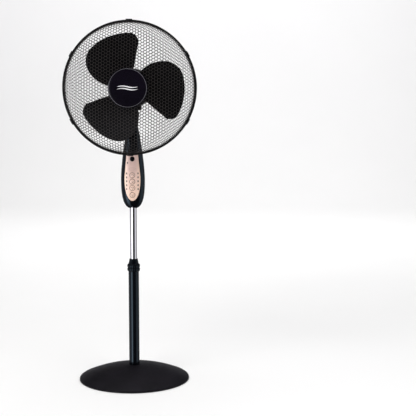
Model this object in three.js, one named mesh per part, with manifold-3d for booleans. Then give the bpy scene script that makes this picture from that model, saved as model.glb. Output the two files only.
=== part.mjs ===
// Pedestal fan: a weighted round base, a two-part pole with a lock nut, a control housing on the pole,
// and a guarded three-blade head that swings, tilts and blows towards -Y. Millimetres, +Z up,
// origin at the centre of the base on the floor.
import * as THREE from "three";
import { mergeVertices } from "three/addons/utils/BufferGeometryUtils.js";
import Module from "manifold-3d";

const wasm = await Module();
wasm.setup();

// Driving dimensions.
const gap = 0.3; // clearance between pieces that touch
const wall = 2.2; // moulded shells

const baseRadius = 186;
const baseTop = 50; // height of the dome at the pole
const baseEdge = 8; // height of the dome at its rim
const coverWall = 2.5;
const footHeight = 2.7;
const footRadius = 9;
const footCount = 4;
const footCircle = 150;
const plateThickness = 2;
const baseSides = 32;
const weightOuter = 140;
const weightInner = 56;
const weightThickness = 8;

const lowerTubeRadius = 17.5;
const lowerTubeWall = 1.2;
const lowerTubeTop = 371;
const upperTubeRadius = 11.5;
const upperTubeWall = 1.2;
const upperTubeBottom = 182;
const boltRadius = 4;

const nutOverhang = 4; // the lock nut stands this far out from the lower tube
const nutHeight = 24.5;
const nutConeHeight = 18;
const nutGrooves = 12;
const shoulderWidth = 2.5; // of the collet, resting on the tube's end

const housingBottom = 583;
const housingWide = 686; // height where the control housing is widest
const housingTop = 858; // top of the neck
const housingHalfWidth = 40;
const housingHalfDepth = 26;
const neckHalfWidth = 18.5;
const neckHalfDepth = 18;
const panelBottom = 612;
const panelWide = 692;
const panelTop = 767;
const panelHalfWidth = 26.5;
const panelTopHalfWidth = 19;
const panelProud = 0.8;

const buttonRadius = 8;
const buttonHeights = { swing: 698, timer: 677, speed: 655.5, power: 632 };
const buttonProud = 1.6;
const lightColumn = 19; // distance of the light columns from the middle
const lightCount = 5;
const lightTop = 704;
const lightPitch = 13.1;
const irRadius = 8.1;
const irHeight = 752;

const postRadius = 11;
const pinRadius = 9;
const bracketRadius = 19.5;
const tiltDrop = 22; // from the motor housing down to the tilt bolt
const saddleHalfWidth = 30; // the block under the motor housing
const saddleHalfDepth = 16;
const lugRadius = 11;
const lugHalfWidth = 12.9;
const earThickness = 6;
const earRadius = 12;
const knobRadius = 12;

const headHeight = 986; // height of the fan's axis
const guardRadius = 217; // outside of the rims
const rimWidth = 6.2;
const rimThickness = 5.6;
const rimPlane = -100.25; // where the two rims meet
const frontDepth = 68; // of the domed mesh guards, from their rims
const rearDepth = 61;
const guardWall = 0.8;
const domePower = 2.6;
const ringSides = 32;
const clipCount = 6;
const clipWidth = 22;
const clipWall = 2;
const capRadius = 63;
const capSpigot = 50;

const motorRadius = 64;
const motorSplit = 20;
const motorRear = 98;
const motorNose = 20;
const shaftRadius = 4;
const bearingRadius = 11;

const tiltHeight = headHeight - motorRadius - tiltDrop;
const bracketTop = tiltHeight - lugRadius - 2;

const bladeCount = 3;
const bladeTip = 178;
const bladeAngle = 99; // degrees from the straight edge round to the swept tail
const bladeStart = 79.5;
const bladeMiddle = -104;
const bladeThickness = 2;
const bladeRootSpan = 50; // depth of a blade along the axis, at the hub and at the tip
const bladeTipSpan = 80;
const bladeCamber = 5;
const hubRadius = 42;
const hubFront = -140;
const hubBack = -78;

// A closed geometry as a solid that can be joined and cut.
function solid(geometry) {
  const plain = new THREE.BufferGeometry();
  plain.setAttribute("position", geometry.getAttribute("position"));
  if (geometry.index) plain.setIndex(geometry.index);
  const merged = mergeVertices(plain, 1e-4);
  const index = merged.index.array;
  const build = (flip) => {
    const triVerts = [];
    for (let i = 0; i < index.length; i += 3) {
      const [a, b, c] = [index[i], index[i + 1], index[i + 2]];
      if (a === b || b === c || a === c) continue;
      triVerts.push(a, flip ? c : b, flip ? b : c);
    }
    return new wasm.Manifold(
      new wasm.Mesh({
        numProp: 3,
        vertProperties: merged.attributes.position.array,
        triVerts: new Uint32Array(triVerts),
      }),
    );
  };
  const made = build(false);
  return made.volume() < 0 ? build(true) : made;
}

const cut = (body, ...tools) => tools.reduce((a, b) => a.subtract(b), body);
const join = (body, ...others) => others.reduce((a, b) => a.add(b), body);

function shapeOf(points) {
  return new THREE.Shape(points.map(([a, b]) => new THREE.Vector2(a, b)));
}

function latheOf(points, sides) {
  const ring = points[0][0] > 0 ? [...points, points[0]] : points;
  return new THREE.LatheGeometry(ring.map(([r, h]) => new THREE.Vector2(r, h)), sides);
}

// Turned about the upright axis, from (radius, height) points.
const turned = (points, sides = 20) => solid(latheOf(points, sides).rotateX(Math.PI / 2));

// Turned about the fan's axis, from (radius, y) points.
const spun = (points, sides = 24) => solid(latheOf(points, sides));

function rodY(radius, y0, y1, x = 0, z = 0, sides = 16) {
  const rod = new THREE.CylinderGeometry(radius, radius, Math.abs(y1 - y0), sides);
  return solid(rod.translate(x, (y0 + y1) / 2, z));
}

function rodX(radius, x0, x1, y, z, sides = 16) {
  const rod = new THREE.CylinderGeometry(radius, radius, Math.abs(x1 - x0), sides);
  return solid(rod.rotateZ(Math.PI / 2).translate((x0 + x1) / 2, y, z));
}

function rodZ(radius, z0, z1, x = 0, y = 0, sides = 16) {
  const rod = new THREE.CylinderGeometry(radius, radius, Math.abs(z1 - z0), sides);
  return solid(rod.rotateX(Math.PI / 2).translate(x, y, (z0 + z1) / 2));
}

function block(low, high) {
  const size = high.map((value, i) => value - low[i]);
  const box = new THREE.BoxGeometry(...size);
  return solid(box.translate(...low.map((value, i) => value + size[i] / 2)));
}

// An outline of (x, z) points, thickened from one y to another.
function facing(points, yFront, yBack) {
  const options = { depth: yBack - yFront, bevelEnabled: false };
  const plate = new THREE.ExtrudeGeometry(shapeOf(points), options);
  return solid(plate.rotateX(Math.PI / 2).translate(0, yBack, 0));
}

// An outline of (y, z) points, thickened from one x to another.
function sideways(points, xLeft, xRight) {
  const options = { depth: xRight - xLeft, bevelEnabled: false };
  const plate = new THREE.ExtrudeGeometry(shapeOf(points), options);
  const [x, y, z] = [new THREE.Vector3(1, 0, 0), new THREE.Vector3(0, 1, 0), new THREE.Vector3(0, 0, 1)];
  return solid(plate.applyMatrix4(new THREE.Matrix4().makeBasis(y, z, x)).translate(xLeft, 0, 0));
}

const group = new THREE.Group();
const head = new THREE.Group();
head.position.z = headHeight;
group.add(head);

function add(name, body, look, parent = group) {
  const mesh = body.getMesh();
  const geometry = new THREE.BufferGeometry();
  geometry.setAttribute("position", new THREE.BufferAttribute(mesh.vertProperties, 3));
  geometry.setIndex(new THREE.BufferAttribute(mesh.triVerts, 1));
  geometry.computeVertexNormals();
  const node = new THREE.Mesh(geometry, new THREE.MeshStandardMaterial(look));
  node.name = name;
  parent.add(node);
}

// Finishes.
const satinBlack = { color: 0x1a191c, roughness: 0.38, metalness: 0 };
const glossBlack = { color: 0x0d0d10, roughness: 0.12, metalness: 0 };
const paintedBlack = { color: 0x121214, roughness: 0.3, metalness: 0.4 };
const chrome = { color: 0xd8d9dc, roughness: 0.08, metalness: 1 };
const champagne = { color: 0xd9b9a8, roughness: 0.32, metalness: 0.8 };
const steel = { color: 0x9a9b9d, roughness: 0.4, metalness: 0.9 };
const castIron = { color: 0x4a4a4c, roughness: 0.8, metalness: 0.5 };
const rubber = { color: 0x141414, roughness: 0.9, metalness: 0 };
const copper = { color: 0x7c5138, roughness: 0.5, metalness: 0.7 };
const boardGreen = { color: 0x1f5a38, roughness: 0.6, metalness: 0 };
const milky = { color: 0xd8d4cc, roughness: 0.4, metalness: 0 };
const whitePlastic = { color: 0xc9c8c4, roughness: 0.5, metalness: 0 };

// Base: a domed cover on a plate, with a weight and the pole's socket inside.
const domeHeight = (r) => baseTop - (baseTop - baseEdge) * (r / baseRadius) ** 2;
const tubeHole = lowerTubeRadius + gap;
const skirtInner = baseRadius - coverWall;
const plateTop = footHeight + gap + plateThickness;
const floorGap = 1.2; // the skirt stays this far off the floor

function baseCover() {
  const steps = 5;
  const radii = Array.from({ length: steps + 1 }, (_, i) => tubeHole + ((skirtInner - tubeHole) * i) / steps);
  const outer = radii.map((r) => [r, domeHeight(r)]);
  const inner = radii.map((r) => [r, domeHeight(r) - coverWall]).reverse();
  const rim = [[baseRadius, baseEdge - coverWall / 2], [baseRadius, floorGap], [skirtInner, floorGap]];
  return turned([...outer, ...rim, ...inner], baseSides);
}

const weightBottom = plateTop + gap;
const socketFlange = 3;
const socketWall = 3.7;
const socketRadius = tubeHole + socketWall;
const socketFoot = weightInner - 4; // the socket's flange stands inside the weight
const boltHole = boltRadius + gap;
const boltHeadTop = plateTop - gap;
const boltHeadHeight = 3.4;
const boltHeadRadius = boltRadius * 1.75;
const plateHole = boltRadius * 3;
const plugHeight = 22;
const tubeBottom = plateTop + gap + socketFlange + gap;
const plugTop = tubeBottom + plugHeight;
const lowerTubeBore = lowerTubeRadius - lowerTubeWall;

add("base_cover", baseCover(), satinBlack);
add("base_plate", turned([
  [plateHole, plateTop - plateThickness],
  [skirtInner - gap, plateTop - plateThickness],
  [skirtInner - gap, plateTop],
  [plateHole, plateTop],
], baseSides), paintedBlack);
add("base_weight", turned([
  [weightInner, weightBottom],
  [weightOuter, weightBottom],
  [weightOuter, weightBottom + weightThickness],
  [weightInner, weightBottom + weightThickness],
], 24), castIron);
add("pole_socket", turned([
  [boltHole, plateTop + gap],
  [socketFoot, plateTop + gap],
  [socketFoot, plateTop + gap + socketFlange],
  [socketRadius, plateTop + gap + socketFlange],
  [socketRadius, domeHeight(socketRadius) - coverWall - gap * 2],
  [tubeHole, domeHeight(socketRadius) - coverWall - gap * 2],
  [tubeHole, plateTop + gap + socketFlange],
  [boltHole, plateTop + gap + socketFlange],
]), paintedBlack);
add("pole_plug", turned([
  [boltHole, tubeBottom],
  [lowerTubeBore - gap, tubeBottom],
  [lowerTubeBore - gap, plugTop],
  [boltHole, plugTop],
], 20), steel);
add("base_bolt", join(
  rodZ(boltHeadRadius, boltHeadTop - boltHeadHeight, boltHeadTop, 0, 0, 6),
  rodZ(boltRadius, boltHeadTop - 1, plugTop - 2),
), steel);
for (let i = 0; i < footCount; i++) {
  const angle = ((i + 0.5) * 2 * Math.PI) / footCount;
  const [x, y] = [footCircle * Math.cos(angle), footCircle * Math.sin(angle)];
  add(`foot_${i + 1}`, rodZ(footRadius, 0, footHeight, x, y, 14), rubber);
}

// Pole: a fixed lower tube, a sliding chrome tube, and the collet and nut that hold it.
const nutRadius = lowerTubeRadius + nutOverhang;
const collarRadius = lowerTubeRadius;
const threadRadius = collarRadius - shoulderWidth;
const collarLip = 1.7; // thickness of the collet's shoulder
const collarTop = lowerTubeTop + gap + collarLip;
const collarBore = upperTubeRadius + gap;
const nutBottom = lowerTubeTop + gap * 2;
const nutTop = nutBottom + nutHeight;
const nutConeTop = nutTop + nutConeHeight;
const fingerLength = 8; // the collet's fingers, inside the nut's cone
const fingerTop = nutTop + fingerLength;
const fingerWall = 1.2;
const collarDepth = 48; // how far the collet reaches down into the lower tube
const bushHeight = 16;

add("lower_tube", turned([
  [lowerTubeBore, tubeBottom],
  [lowerTubeRadius, tubeBottom],
  [lowerTubeRadius, lowerTubeTop],
  [lowerTubeBore, lowerTubeTop],
]), glossBlack);
add("tube_collet", turned([
  [collarBore, lowerTubeTop - collarDepth],
  [lowerTubeBore - gap, lowerTubeTop - collarDepth],
  [lowerTubeBore - gap, lowerTubeTop + gap],
  [collarRadius, lowerTubeTop + gap],
  [collarRadius, collarTop],
  [threadRadius, collarTop],
  [threadRadius, nutTop],
  [collarBore + fingerWall, fingerTop],
  [collarBore, fingerTop],
], 20), whitePlastic);

function lockNut() {
  const bulge = nutHeight / 4;
  const waist = 1.6; // depth of the dip between the nut's two bulges
  const grooveRadius = 2.4;
  const body = turned([
    [collarRadius + gap, nutBottom],
    [nutRadius - 1.5, nutBottom],
    [nutRadius, nutBottom + bulge],
    [nutRadius - waist, nutBottom + bulge * 2],
    [nutRadius, nutBottom + bulge * 3],
    [nutRadius - 2.5, nutTop],
    [nutRadius - 5, nutTop + 1],
    [collarBore + 1.5, nutConeTop],
    [collarBore + 0.1, nutConeTop],
    [collarBore + 0.1, nutConeTop - 1],
    [threadRadius + gap, nutTop + 1],
    [threadRadius + gap, collarTop + gap],
    [collarRadius + gap, collarTop + gap],
  ], 24);
  const grooves = Array.from({ length: nutGrooves }, (_, i) => {
    const angle = (i * 2 * Math.PI) / nutGrooves;
    const reach = nutRadius + waist;
    return rodZ(grooveRadius, nutBottom - 1, nutTop - 2, reach * Math.cos(angle), reach * Math.sin(angle), 6);
  });
  return cut(body, ...grooves);
}

const tubeShort = 30;
const socketTop = housingWide - tubeShort; // the chrome tube ends here inside the swivel post
add("height_lock_nut", lockNut(), satinBlack);
add("upper_tube", turned([
  [upperTubeRadius - upperTubeWall, upperTubeBottom],
  [upperTubeRadius, upperTubeBottom],
  [upperTubeRadius, socketTop],
  [upperTubeRadius - upperTubeWall, socketTop],
]), chrome);
add("guide_bush", turned([
  [upperTubeRadius + gap, upperTubeBottom + gap],
  [lowerTubeBore - gap, upperTubeBottom + gap],
  [lowerTubeBore - gap, upperTubeBottom + gap + bushHeight],
  [upperTubeRadius + gap, upperTubeBottom + gap + bushHeight],
], 20), whitePlastic);

// Control housing.
// Half width and half depth of the housing at a height; grow is added all round.
function housingSection(z, grow) {
  const low = housingBottom - grow;
  if (z < housingWide) {
    const fullness = 2.8; // 2 gives a half ellipse, more gives a fuller foot
    const round = (1 - ((housingWide - z) / (housingWide - low)) ** fullness) ** (1 / fullness);
    return [(housingHalfWidth + grow) * round, (housingHalfDepth + grow) * round];
  }
  const taper = ((z - housingWide) / (housingTop - housingWide)) ** 1.5;
  return [
    housingHalfWidth + grow - (housingHalfWidth - neckHalfWidth) * taper,
    housingHalfDepth + grow - (housingHalfDepth - neckHalfDepth) * taper,
  ];
}

// The housing as a loft of ovals up to a height, closed at both ends.
function housingLoft(grow, top) {
  const sides = 20;
  const squareness = 2 / 2.3; // 1 gives ellipses
  const low = housingBottom - grow;
  const levels = [0.01, 0.08, 0.22, 0.5, 1].map((t) => low + (housingWide - low) * t);
  for (let i = 1; i <= 4; i++) levels.push(housingWide + ((top - housingWide) * i) / 4);
  const points = [0, 0, levels[0]];
  for (const z of levels) {
    const [width, depth] = housingSection(z, grow);
    for (let k = 0; k < sides; k++) {
      const angle = (k * 2 * Math.PI) / sides;
      const [c, s] = [Math.cos(angle), Math.sin(angle)];
      points.push(width * Math.sign(c) * Math.abs(c) ** squareness);
      points.push(depth * Math.sign(s) * Math.abs(s) ** squareness, z);
    }
  }
  points.push(0, 0, top);
  const last = levels.length * sides + 1;
  const index = [];
  for (let k = 0; k < sides; k++) {
    const next = (k + 1) % sides;
    index.push(0, 1 + next, 1 + k, last, last - sides + k, last - sides + next);
    for (let level = 0; level + 1 < levels.length; level++) {
      const [a, b] = [1 + level * sides + k, 1 + level * sides + next];
      index.push(a, b, b + sides, a, b + sides, a + sides);
    }
  }
  const geometry = new THREE.BufferGeometry();
  geometry.setAttribute("position", new THREE.Float32BufferAttribute(points, 3));
  return solid(geometry.setIndex(index));
}

// Outline of the champagne panel: an oval foot, straight flanks that lean in, and a flat top.
function panelOutline(grow) {
  const points = [];
  const steps = 10;
  const drop = panelWide - panelBottom + grow;
  for (let i = 0; i <= steps; i++) {
    const angle = (Math.PI * i) / steps;
    points.push([-(panelHalfWidth + grow) * Math.cos(angle), panelWide - drop * Math.sin(angle) ** 0.8]);
  }
  points.push([panelTopHalfWidth + grow, panelTop + grow], [-panelTopHalfWidth - grow, panelTop + grow]);
  return points;
}

const farFront = -housingHalfDepth * 2;
const outerLoft = housingLoft(0, housingTop);
const innerLoft = housingLoft(-wall, housingTop - wall);
const panelSkin = cut(housingLoft(panelProud, housingTop), housingLoft(panelProud - wall, housingTop));
const screwSpots = [-27, 27];
const screwHeight = 720;
const screwRadius = 1.7;
const screwHead = 3.4;
const headSeat = 13;
const screwPostWall = 1.8;
const glandHeight = 640;
const glandRadius = 4.2;
const past = 5; // how far cutting tools reach past the faces they cut
const tubeEntry = 25; // depth of the housing's hole for the chrome tube

// Half of the hollow housing: front for side -1, rear for side 1.
function housingHalf(side) {
  const reach = [housingHalfWidth * 2, housingHalfDepth * 2];
  const ends = [gap / 2, reach[1]].map((y) => y * side).sort((a, b) => a - b);
  const half = block([-reach[0], ends[0], housingBottom - past], [reach[0], ends[1], housingTop + past]);
  const posts = screwSpots.map((x) => (
    rodY(screwHead + screwPostWall, side * gap / 2, side * reach[1], x, screwHeight)
  ));
  const shell = join(cut(outerLoft, innerLoft), ...posts).intersect(outerLoft).intersect(half);
  return cut(
    shell,
    rodZ(upperTubeRadius + gap, housingBottom - past, housingBottom + tubeEntry, 0, 0, 24),
    rodZ(postRadius + gap * 2, housingTop - past * 2, housingTop + past, 0, 0, 24),
    ...screwSpots.map((x) => rodY(screwRadius + gap, -headSeat, reach[1], x, screwHeight, 16)),
  );
}

add("control_front_shell", cut(
  housingHalf(-1),
  facing(panelOutline(gap), farFront, -neckHalfDepth / 2),
), glossBlack);
add("control_rear_shell", cut(
  housingHalf(1),
  ...screwSpots.map((x) => rodY(screwHead + gap, headSeat, housingHalfDepth * 2, x, screwHeight, 16)),
  rodY(glandRadius + gap, 0, housingHalfDepth * 2, 0, glandHeight, 12),
), glossBlack);

const lightHeights = Array.from({ length: lightCount }, (_, i) => lightTop - i * lightPitch);
const lightSize = [3, 5];
const standby = [-15.6, 739];
const lightHole = (x, z, grow) => block(
  [x - lightSize[0] / 2 - grow, farFront, z - lightSize[1] / 2 - grow],
  [x + lightSize[0] / 2 + grow, -neckHalfDepth / 2, z + lightSize[1] / 2 + grow],
);
const panelBody = facing(panelOutline(0), farFront, -neckHalfDepth / 2).intersect(panelSkin);
const buttonSpots = Object.entries(buttonHeights);
add("control_panel", cut(
  panelBody,
  rodY(irRadius + gap, farFront, 0, 0, irHeight, 16),
  ...buttonSpots.map(([, z]) => rodY(buttonRadius + gap * 1.3, farFront, 0, 0, z, 16)),
  ...lightHeights.flatMap((z) => [-lightColumn, lightColumn].map((x) => lightHole(x, z, gap))),
  lightHole(...standby, gap),
), champagne);

// A flat plate of hidden light guide behind the panel with a finger through each window.
const guideFront = -18.6;
const guideBack = -17.4;
const outerSkin = housingLoft(panelProud, housingTop);
const behindGuide = block([-housingHalfWidth, guideBack, housingBottom], [housingHalfWidth, 0, housingTop]);
const lightFinger = (x, z) => cut(lightHole(x, z, 0), behindGuide).intersect(outerSkin);
function lightGuide(x) {
  const bar = block(
    [x - lightSize[0] / 2, guideFront, lightHeights[lightCount - 1] - lightSize[1]],
    [x + lightSize[0] / 2, guideBack, lightTop + lightSize[1]],
  );
  return join(bar, ...lightHeights.map((z) => lightFinger(x, z)));
}
const boardFront = -16.8;
const boardThickness = 1.6;
const boardBelow = 28; // the board reaches this far below the lowest light
const boardBelowWindow = 24;
add("left_light_guide", lightGuide(-lightColumn), milky);
add("right_light_guide", lightGuide(lightColumn), milky);
add("standby_light", lightFinger(...standby), milky);
add("ir_window", rodY(irRadius, farFront, guideBack - 1, 0, irHeight, 16).intersect(outerSkin), glossBlack);
add("control_board", block(
  [-lightColumn - 1, boardFront, lightHeights[lightCount - 1] - boardBelow],
  [lightColumn + 1, boardFront + boardThickness, irHeight - boardBelowWindow],
), boardGreen);
const flangeWidth = 1;
const flangeThickness = 1.2;
const stemRadius = 2;
const travel = 1.4; // free space between a button's stem and the board
for (const [name, z] of buttonSpots) {
  const faceDepth = housingSection(z, panelProud)[1];
  const flange = -faceDepth + wall + 2;
  const cap = rodY(buttonRadius, -faceDepth - buttonProud, flange, 0, z, 16);
  const rim = rodY(buttonRadius + flangeWidth, flange, flange + flangeThickness, 0, z, 16);
  const stem = rodY(stemRadius, flange + flangeThickness / 2, boardFront - travel, 0, z, 12);
  add(`${name}_button`, join(cap, rim, stem), champagne);
}
const glandFront = 17;
const glandBack = housingHalfDepth + 4;
add("cable_gland", join(
  rodY(glandRadius, glandFront, glandBack, 0, glandHeight, 12),
  rodY(glandRadius + 2, housingHalfDepth + gap * 2, glandBack - 1, 0, glandHeight, 12),
), rubber);
screwSpots.forEach((x, i) => {
  const shank = rodY(screwRadius, -headSeat + 1, headSeat + 1, x, screwHeight, 12);
  const top = rodY(screwHead, headSeat + gap, headSeat + 3, x, screwHeight, 16);
  add(`shell_screw_${i + 1}`, join(shank, top), steel);
});

// Swivel post, and the bracket that the head tilts in.
const socketBore = upperTubeRadius + gap;
const socketSide = 3; // wall of the swivel post round the chrome tube
const postTop = bracketTop - 9;
add("swivel_post", turned([
  [socketBore, housingBottom + tubeEntry - 1],
  [socketBore + socketSide, housingBottom + tubeEntry - 1],
  [socketBore + socketSide, socketTop + 5],
  [postRadius, socketTop + 11],
  [postRadius, housingTop - 4],
  [pinRadius, housingTop - 2],
  [pinRadius, postTop],
  [pinRadius - 4, postTop],
  [pinRadius - 4, socketTop + gap],
  [socketBore, socketTop + gap],
], 20), whitePlastic);
const bushFlange = 2.4;
const bushRadius = pinRadius + 2.5;
const bracketBottom = housingTop + gap + bushFlange + gap;
add("swivel_bush", turned([
  [pinRadius + gap, housingTop + gap],
  [neckHalfDepth - 1, housingTop + gap],
  [neckHalfDepth - 1, housingTop + gap + bushFlange],
  [bushRadius, housingTop + gap + bushFlange],
  [bushRadius, postTop - 1],
  [pinRadius + gap, postTop - 1],
], 20), whitePlastic);

function roundedEar(radius, foot) {
  const points = [[-radius, foot]];
  for (let i = 0; i <= 8; i++) {
    const angle = Math.PI - (Math.PI * i) / 8;
    points.push([radius * Math.cos(angle), tiltHeight + radius * Math.sin(angle)]);
  }
  points.push([radius, foot]);
  return points;
}
const earGap = gap + 0.1;
const earInner = lugHalfWidth + earGap;
const earOuter = earInner + earThickness;
const farSide = bracketRadius * 3; // past both sides of the bracket
const tiltHole = rodX(boltRadius + gap, -farSide, farSide, 0, tiltHeight, 20);
add("swivel_bracket", cut(
  join(
    rodZ(bracketRadius, bracketBottom, bracketTop, 0, 0, 24),
    sideways(roundedEar(earRadius, bracketTop - 6), earInner, earOuter),
    sideways(roundedEar(earRadius, bracketTop - 6), -earOuter, -earInner),
  ),
  rodZ(bushRadius + gap, bracketBottom - 1, postTop + 1, 0, 0, 20),
  tiltHole,
), satinBlack);
const knobDepth = 17;
const threadLength = 10;
const boltEnd = -earOuter - threadLength; // the bolt's thread ends in the knob, on the left
add("tilt_bolt", join(
  rodX(boltRadius, boltEnd, earOuter + 2, 0, tiltHeight, 20),
  rodX(boltRadius * 1.7, earOuter + gap, earOuter + 3, 0, tiltHeight, 6),
), steel);

function tiltKnob() {
  const right = -earOuter - gap;
  const left = right - knobDepth;
  const grooveRadius = 4.3;
  const body = rodX(knobRadius, left, right, 0, tiltHeight, 20);
  const grooves = Array.from({ length: 6 }, (_, i) => {
    const angle = (i * Math.PI) / 3;
    const reach = knobRadius + 3;
    const [y, z] = [reach * Math.cos(angle), tiltHeight + reach * Math.sin(angle)];
    return rodX(grooveRadius, left - 1, right - 4, y, z, 8);
  });
  return cut(body, rodX(boltRadius + gap, boltEnd - 1, right + 1, 0, tiltHeight, 20), ...grooves);
}
add("tilt_knob", tiltKnob(), satinBlack);

// Head. The fan's axis is the head group's own y axis.
const lugAxis = tiltHeight - headHeight;
const lugTop = lugAxis + tiltDrop * 1.5;
const saddleBottom = lugAxis + earRadius + 1;
add("tilt_lug", cut(
  join(
    rodX(lugRadius, -lugHalfWidth, lugHalfWidth, 0, lugAxis, 20),
    block([-lugHalfWidth, -lugRadius, lugAxis], [lugHalfWidth, lugRadius, lugTop]),
    block([-saddleHalfWidth, -saddleHalfDepth, saddleBottom], [saddleHalfWidth, saddleHalfDepth, lugTop]),
  ),
  rodY(motorRadius + gap, -farSide, farSide, 0, 0, 64),
  rodX(boltRadius + gap, -farSide, farSide, 0, lugAxis, 20),
), satinBlack, head);

const rimSeat = 2.5; // a guard's mesh starts this far inside its rim
const dome = (t, depth) => depth * (1 - t ** domePower) ** (1 / domePower);

// A domed mesh guard as a thin wall, bulging towards side (-1 front, 1 rear), with a round hole.
function guardDome(side, depth, hole) {
  const edge = guardRadius - rimWidth - gap;
  const start = rimPlane + side * rimSeat;
  const steps = 8;
  const outer = [];
  const inner = [];
  for (let i = 0; i <= steps; i++) {
    const turn = (Math.PI / 2) * (i / steps);
    const r = Math.max(edge * Math.cos(turn) ** 0.8, hole);
    if (outer.length && outer[outer.length - 1][0] <= hole) break;
    const rise = dome(r / edge, depth);
    outer.push([r, start + side * rise]);
    inner.push([r - guardWall * Math.cos(turn), start + side * (rise - guardWall * Math.sin(turn))]);
  }
  inner[inner.length - 1][0] = hole;
  inner[0] = [edge - guardWall, start];
  return spun([...outer, ...inner.reverse()], ringSides);
}

function rimRing(side) {
  const from = rimPlane + side * gap / 2;
  const to = from + side * rimThickness;
  const inside = guardRadius - rimWidth;
  const soft = 1.5;
  return spun([
    [inside, from],
    [guardRadius, from],
    [guardRadius, to - side * soft],
    [guardRadius - soft, to],
    [inside, to],
  ], ringSides);
}

const frontFace = rimPlane - rimSeat - frontDepth;
const rearFace = rimPlane + rimSeat + rearDepth;
const noseLength = 16;
const guardNutWidth = 13;
const motorFront = rearFace + gap * 2;
const noseFront = motorFront - noseLength;
add("front_guard", guardDome(-1, frontDepth, capSpigot + gap), paintedBlack, head);
add("rear_guard", guardDome(1, rearDepth, motorNose + gap), paintedBlack, head);
add("front_rim", rimRing(-1), paintedBlack, head);
add("rear_rim", rimRing(1), paintedBlack, head);
add("guard_nut", spun([
  [motorNose + gap, rearFace - guardWall - gap * 2],
  [motorNose + guardNutWidth, rearFace - guardWall - gap * 2],
  [motorNose + guardNutWidth, rearFace - guardWall - 4],
  [motorNose + 6, rearFace - guardWall - 8],
  [motorNose + gap, rearFace - guardWall - 8],
], 20), satinBlack, head);

for (let i = 0; i < clipCount; i++) {
  const reach = rimThickness + gap * 1.5;
  const [low, high] = [guardRadius - rimWidth + gap, guardRadius + gap];
  const outline = [
    [rimPlane - reach - clipWall, low],
    [rimPlane - reach, low],
    [rimPlane - reach, high],
    [rimPlane + reach, high],
    [rimPlane + reach, low],
    [rimPlane + reach + clipWall, low],
    [rimPlane + reach + clipWall, high + clipWall],
    [rimPlane - reach - clipWall, high + clipWall],
  ];
  const holder = new THREE.Group();
  holder.rotation.y = -(i * 2 * Math.PI) / clipCount;
  head.add(holder);
  add(`rim_clip_${i + 1}`, sideways(outline, -clipWidth / 2, clipWidth / 2), satinBlack, holder);
}

const capBack = frontFace - gap * 1.5;
add("center_cap", spun([
  [0, capBack - 7.5],
  [capRadius * 0.65, capBack - 7],
  [capRadius * 0.9, capBack - 5.2],
  [capRadius - 0.6, capBack - 3],
  [capRadius, capBack - 1.2],
  [capRadius - 1, capBack],
  [capSpigot, capBack],
  [capSpigot, capBack + 8],
  [capSpigot - 2, capBack + 8],
  [capSpigot - 2, capBack - 2],
  [0, capBack - 3.5],
]), glossBlack, head);

// Motor.
const bearingWidth = 8;
const bearingFront = motorFront + 4;
const webFront = motorSplit + 13; // the wall that holds the rear bearing
const webThickness = 3;
const bearingCup = 3; // wall round the front bearing
add("motor_front_housing", spun([
  [shaftRadius + 2, noseFront],
  [motorNose, noseFront],
  [motorNose, motorFront],
  [motorRadius - 6, motorFront],
  [motorRadius, motorFront + 7],
  [motorRadius, motorSplit - gap / 2],
  [motorRadius - wall, motorSplit - gap / 2],
  [motorRadius - wall, motorFront + 8],
  [motorRadius - 7, motorFront + 3],
  [bearingRadius + bearingCup, motorFront + 3],
  [bearingRadius + bearingCup, bearingFront + bearingWidth],
  [bearingRadius + gap, bearingFront + bearingWidth],
  [bearingRadius + gap, motorFront + 3],
  [shaftRadius + 2, motorFront + 3],
]), satinBlack, head);

const ventCount = 8;
const ventCircle = 20;
const ventRadius = 4;

function rearHousing() {
  const roundDepth = 28;
  const roundWidth = 34;
  const roundFrom = motorRear - roundDepth;
  const outer = [[motorRadius, motorSplit + gap / 2]];
  const inner = [[motorRadius - wall, motorSplit + gap / 2]];
  for (let i = 0; i <= 3; i++) {
    const turn = (i * Math.PI) / 6;
    const [c, s] = [Math.cos(turn), Math.sin(turn)];
    outer.push([motorRadius - roundWidth * (1 - c), roundFrom + roundDepth * s]);
    inner.push([motorRadius - wall - roundWidth * (1 - c), roundFrom + (roundDepth - wall) * s]);
  }
  const shell = spun([[0, motorRear], ...outer.reverse(), ...inner, [0, motorRear - wall]]);
  const web = spun([
    [bearingRadius + gap, webFront],
    [motorRadius - wall / 2, webFront],
    [motorRadius - wall / 2, webFront + webThickness],
    [bearingRadius + gap, webFront + webThickness],
  ]);
  const vents = Array.from({ length: ventCount }, (_, i) => {
    const angle = ((i + 0.5) * 2 * Math.PI) / ventCount;
    const [x, z] = [ventCircle * Math.cos(angle), ventCircle * Math.sin(angle)];
    return rodY(ventRadius, motorRear - 12, motorRear + past, x, z, 8);
  });
  return cut(join(shell, web), ...vents);
}
add("motor_rear_housing", rearHousing(), satinBlack, head);

const coreHalf = 14;
const statorInner = 30;
const airGap = 1; // between the stator and the rotor's core
const ringOf = (inner, outer, from, to, sides) => (
  spun([[inner, from], [outer, from], [outer, to], [inner, to]], sides)
);
add("stator", ringOf(statorInner, motorRadius - wall - 3, -coreHalf, coreHalf, 24), copper, head);
add("rotor_core", ringOf(shaftRadius + gap, statorInner - airGap, -coreHalf, coreHalf, 20), steel, head);
const bearing = (from, to) => ringOf(shaftRadius + gap, bearingRadius, from, to, 20);
add("front_bearing", bearing(bearingFront, bearingFront + bearingWidth), steel, head);
add("rear_bearing", bearing(webFront - 4, webFront + webThickness), steel, head);
const swingMotorRadius = 21;
const swingMotorHeight = 18;
const swingMotorBottom = 14 - motorRadius; // stands on the housing's floor
const swingCentre = (webFront + motorRear) / 2 - 1;
add("swing_motor", rodZ(
  swingMotorRadius, swingMotorBottom, swingMotorBottom + swingMotorHeight, 0, swingCentre, 24,
), steel, head);

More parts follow.
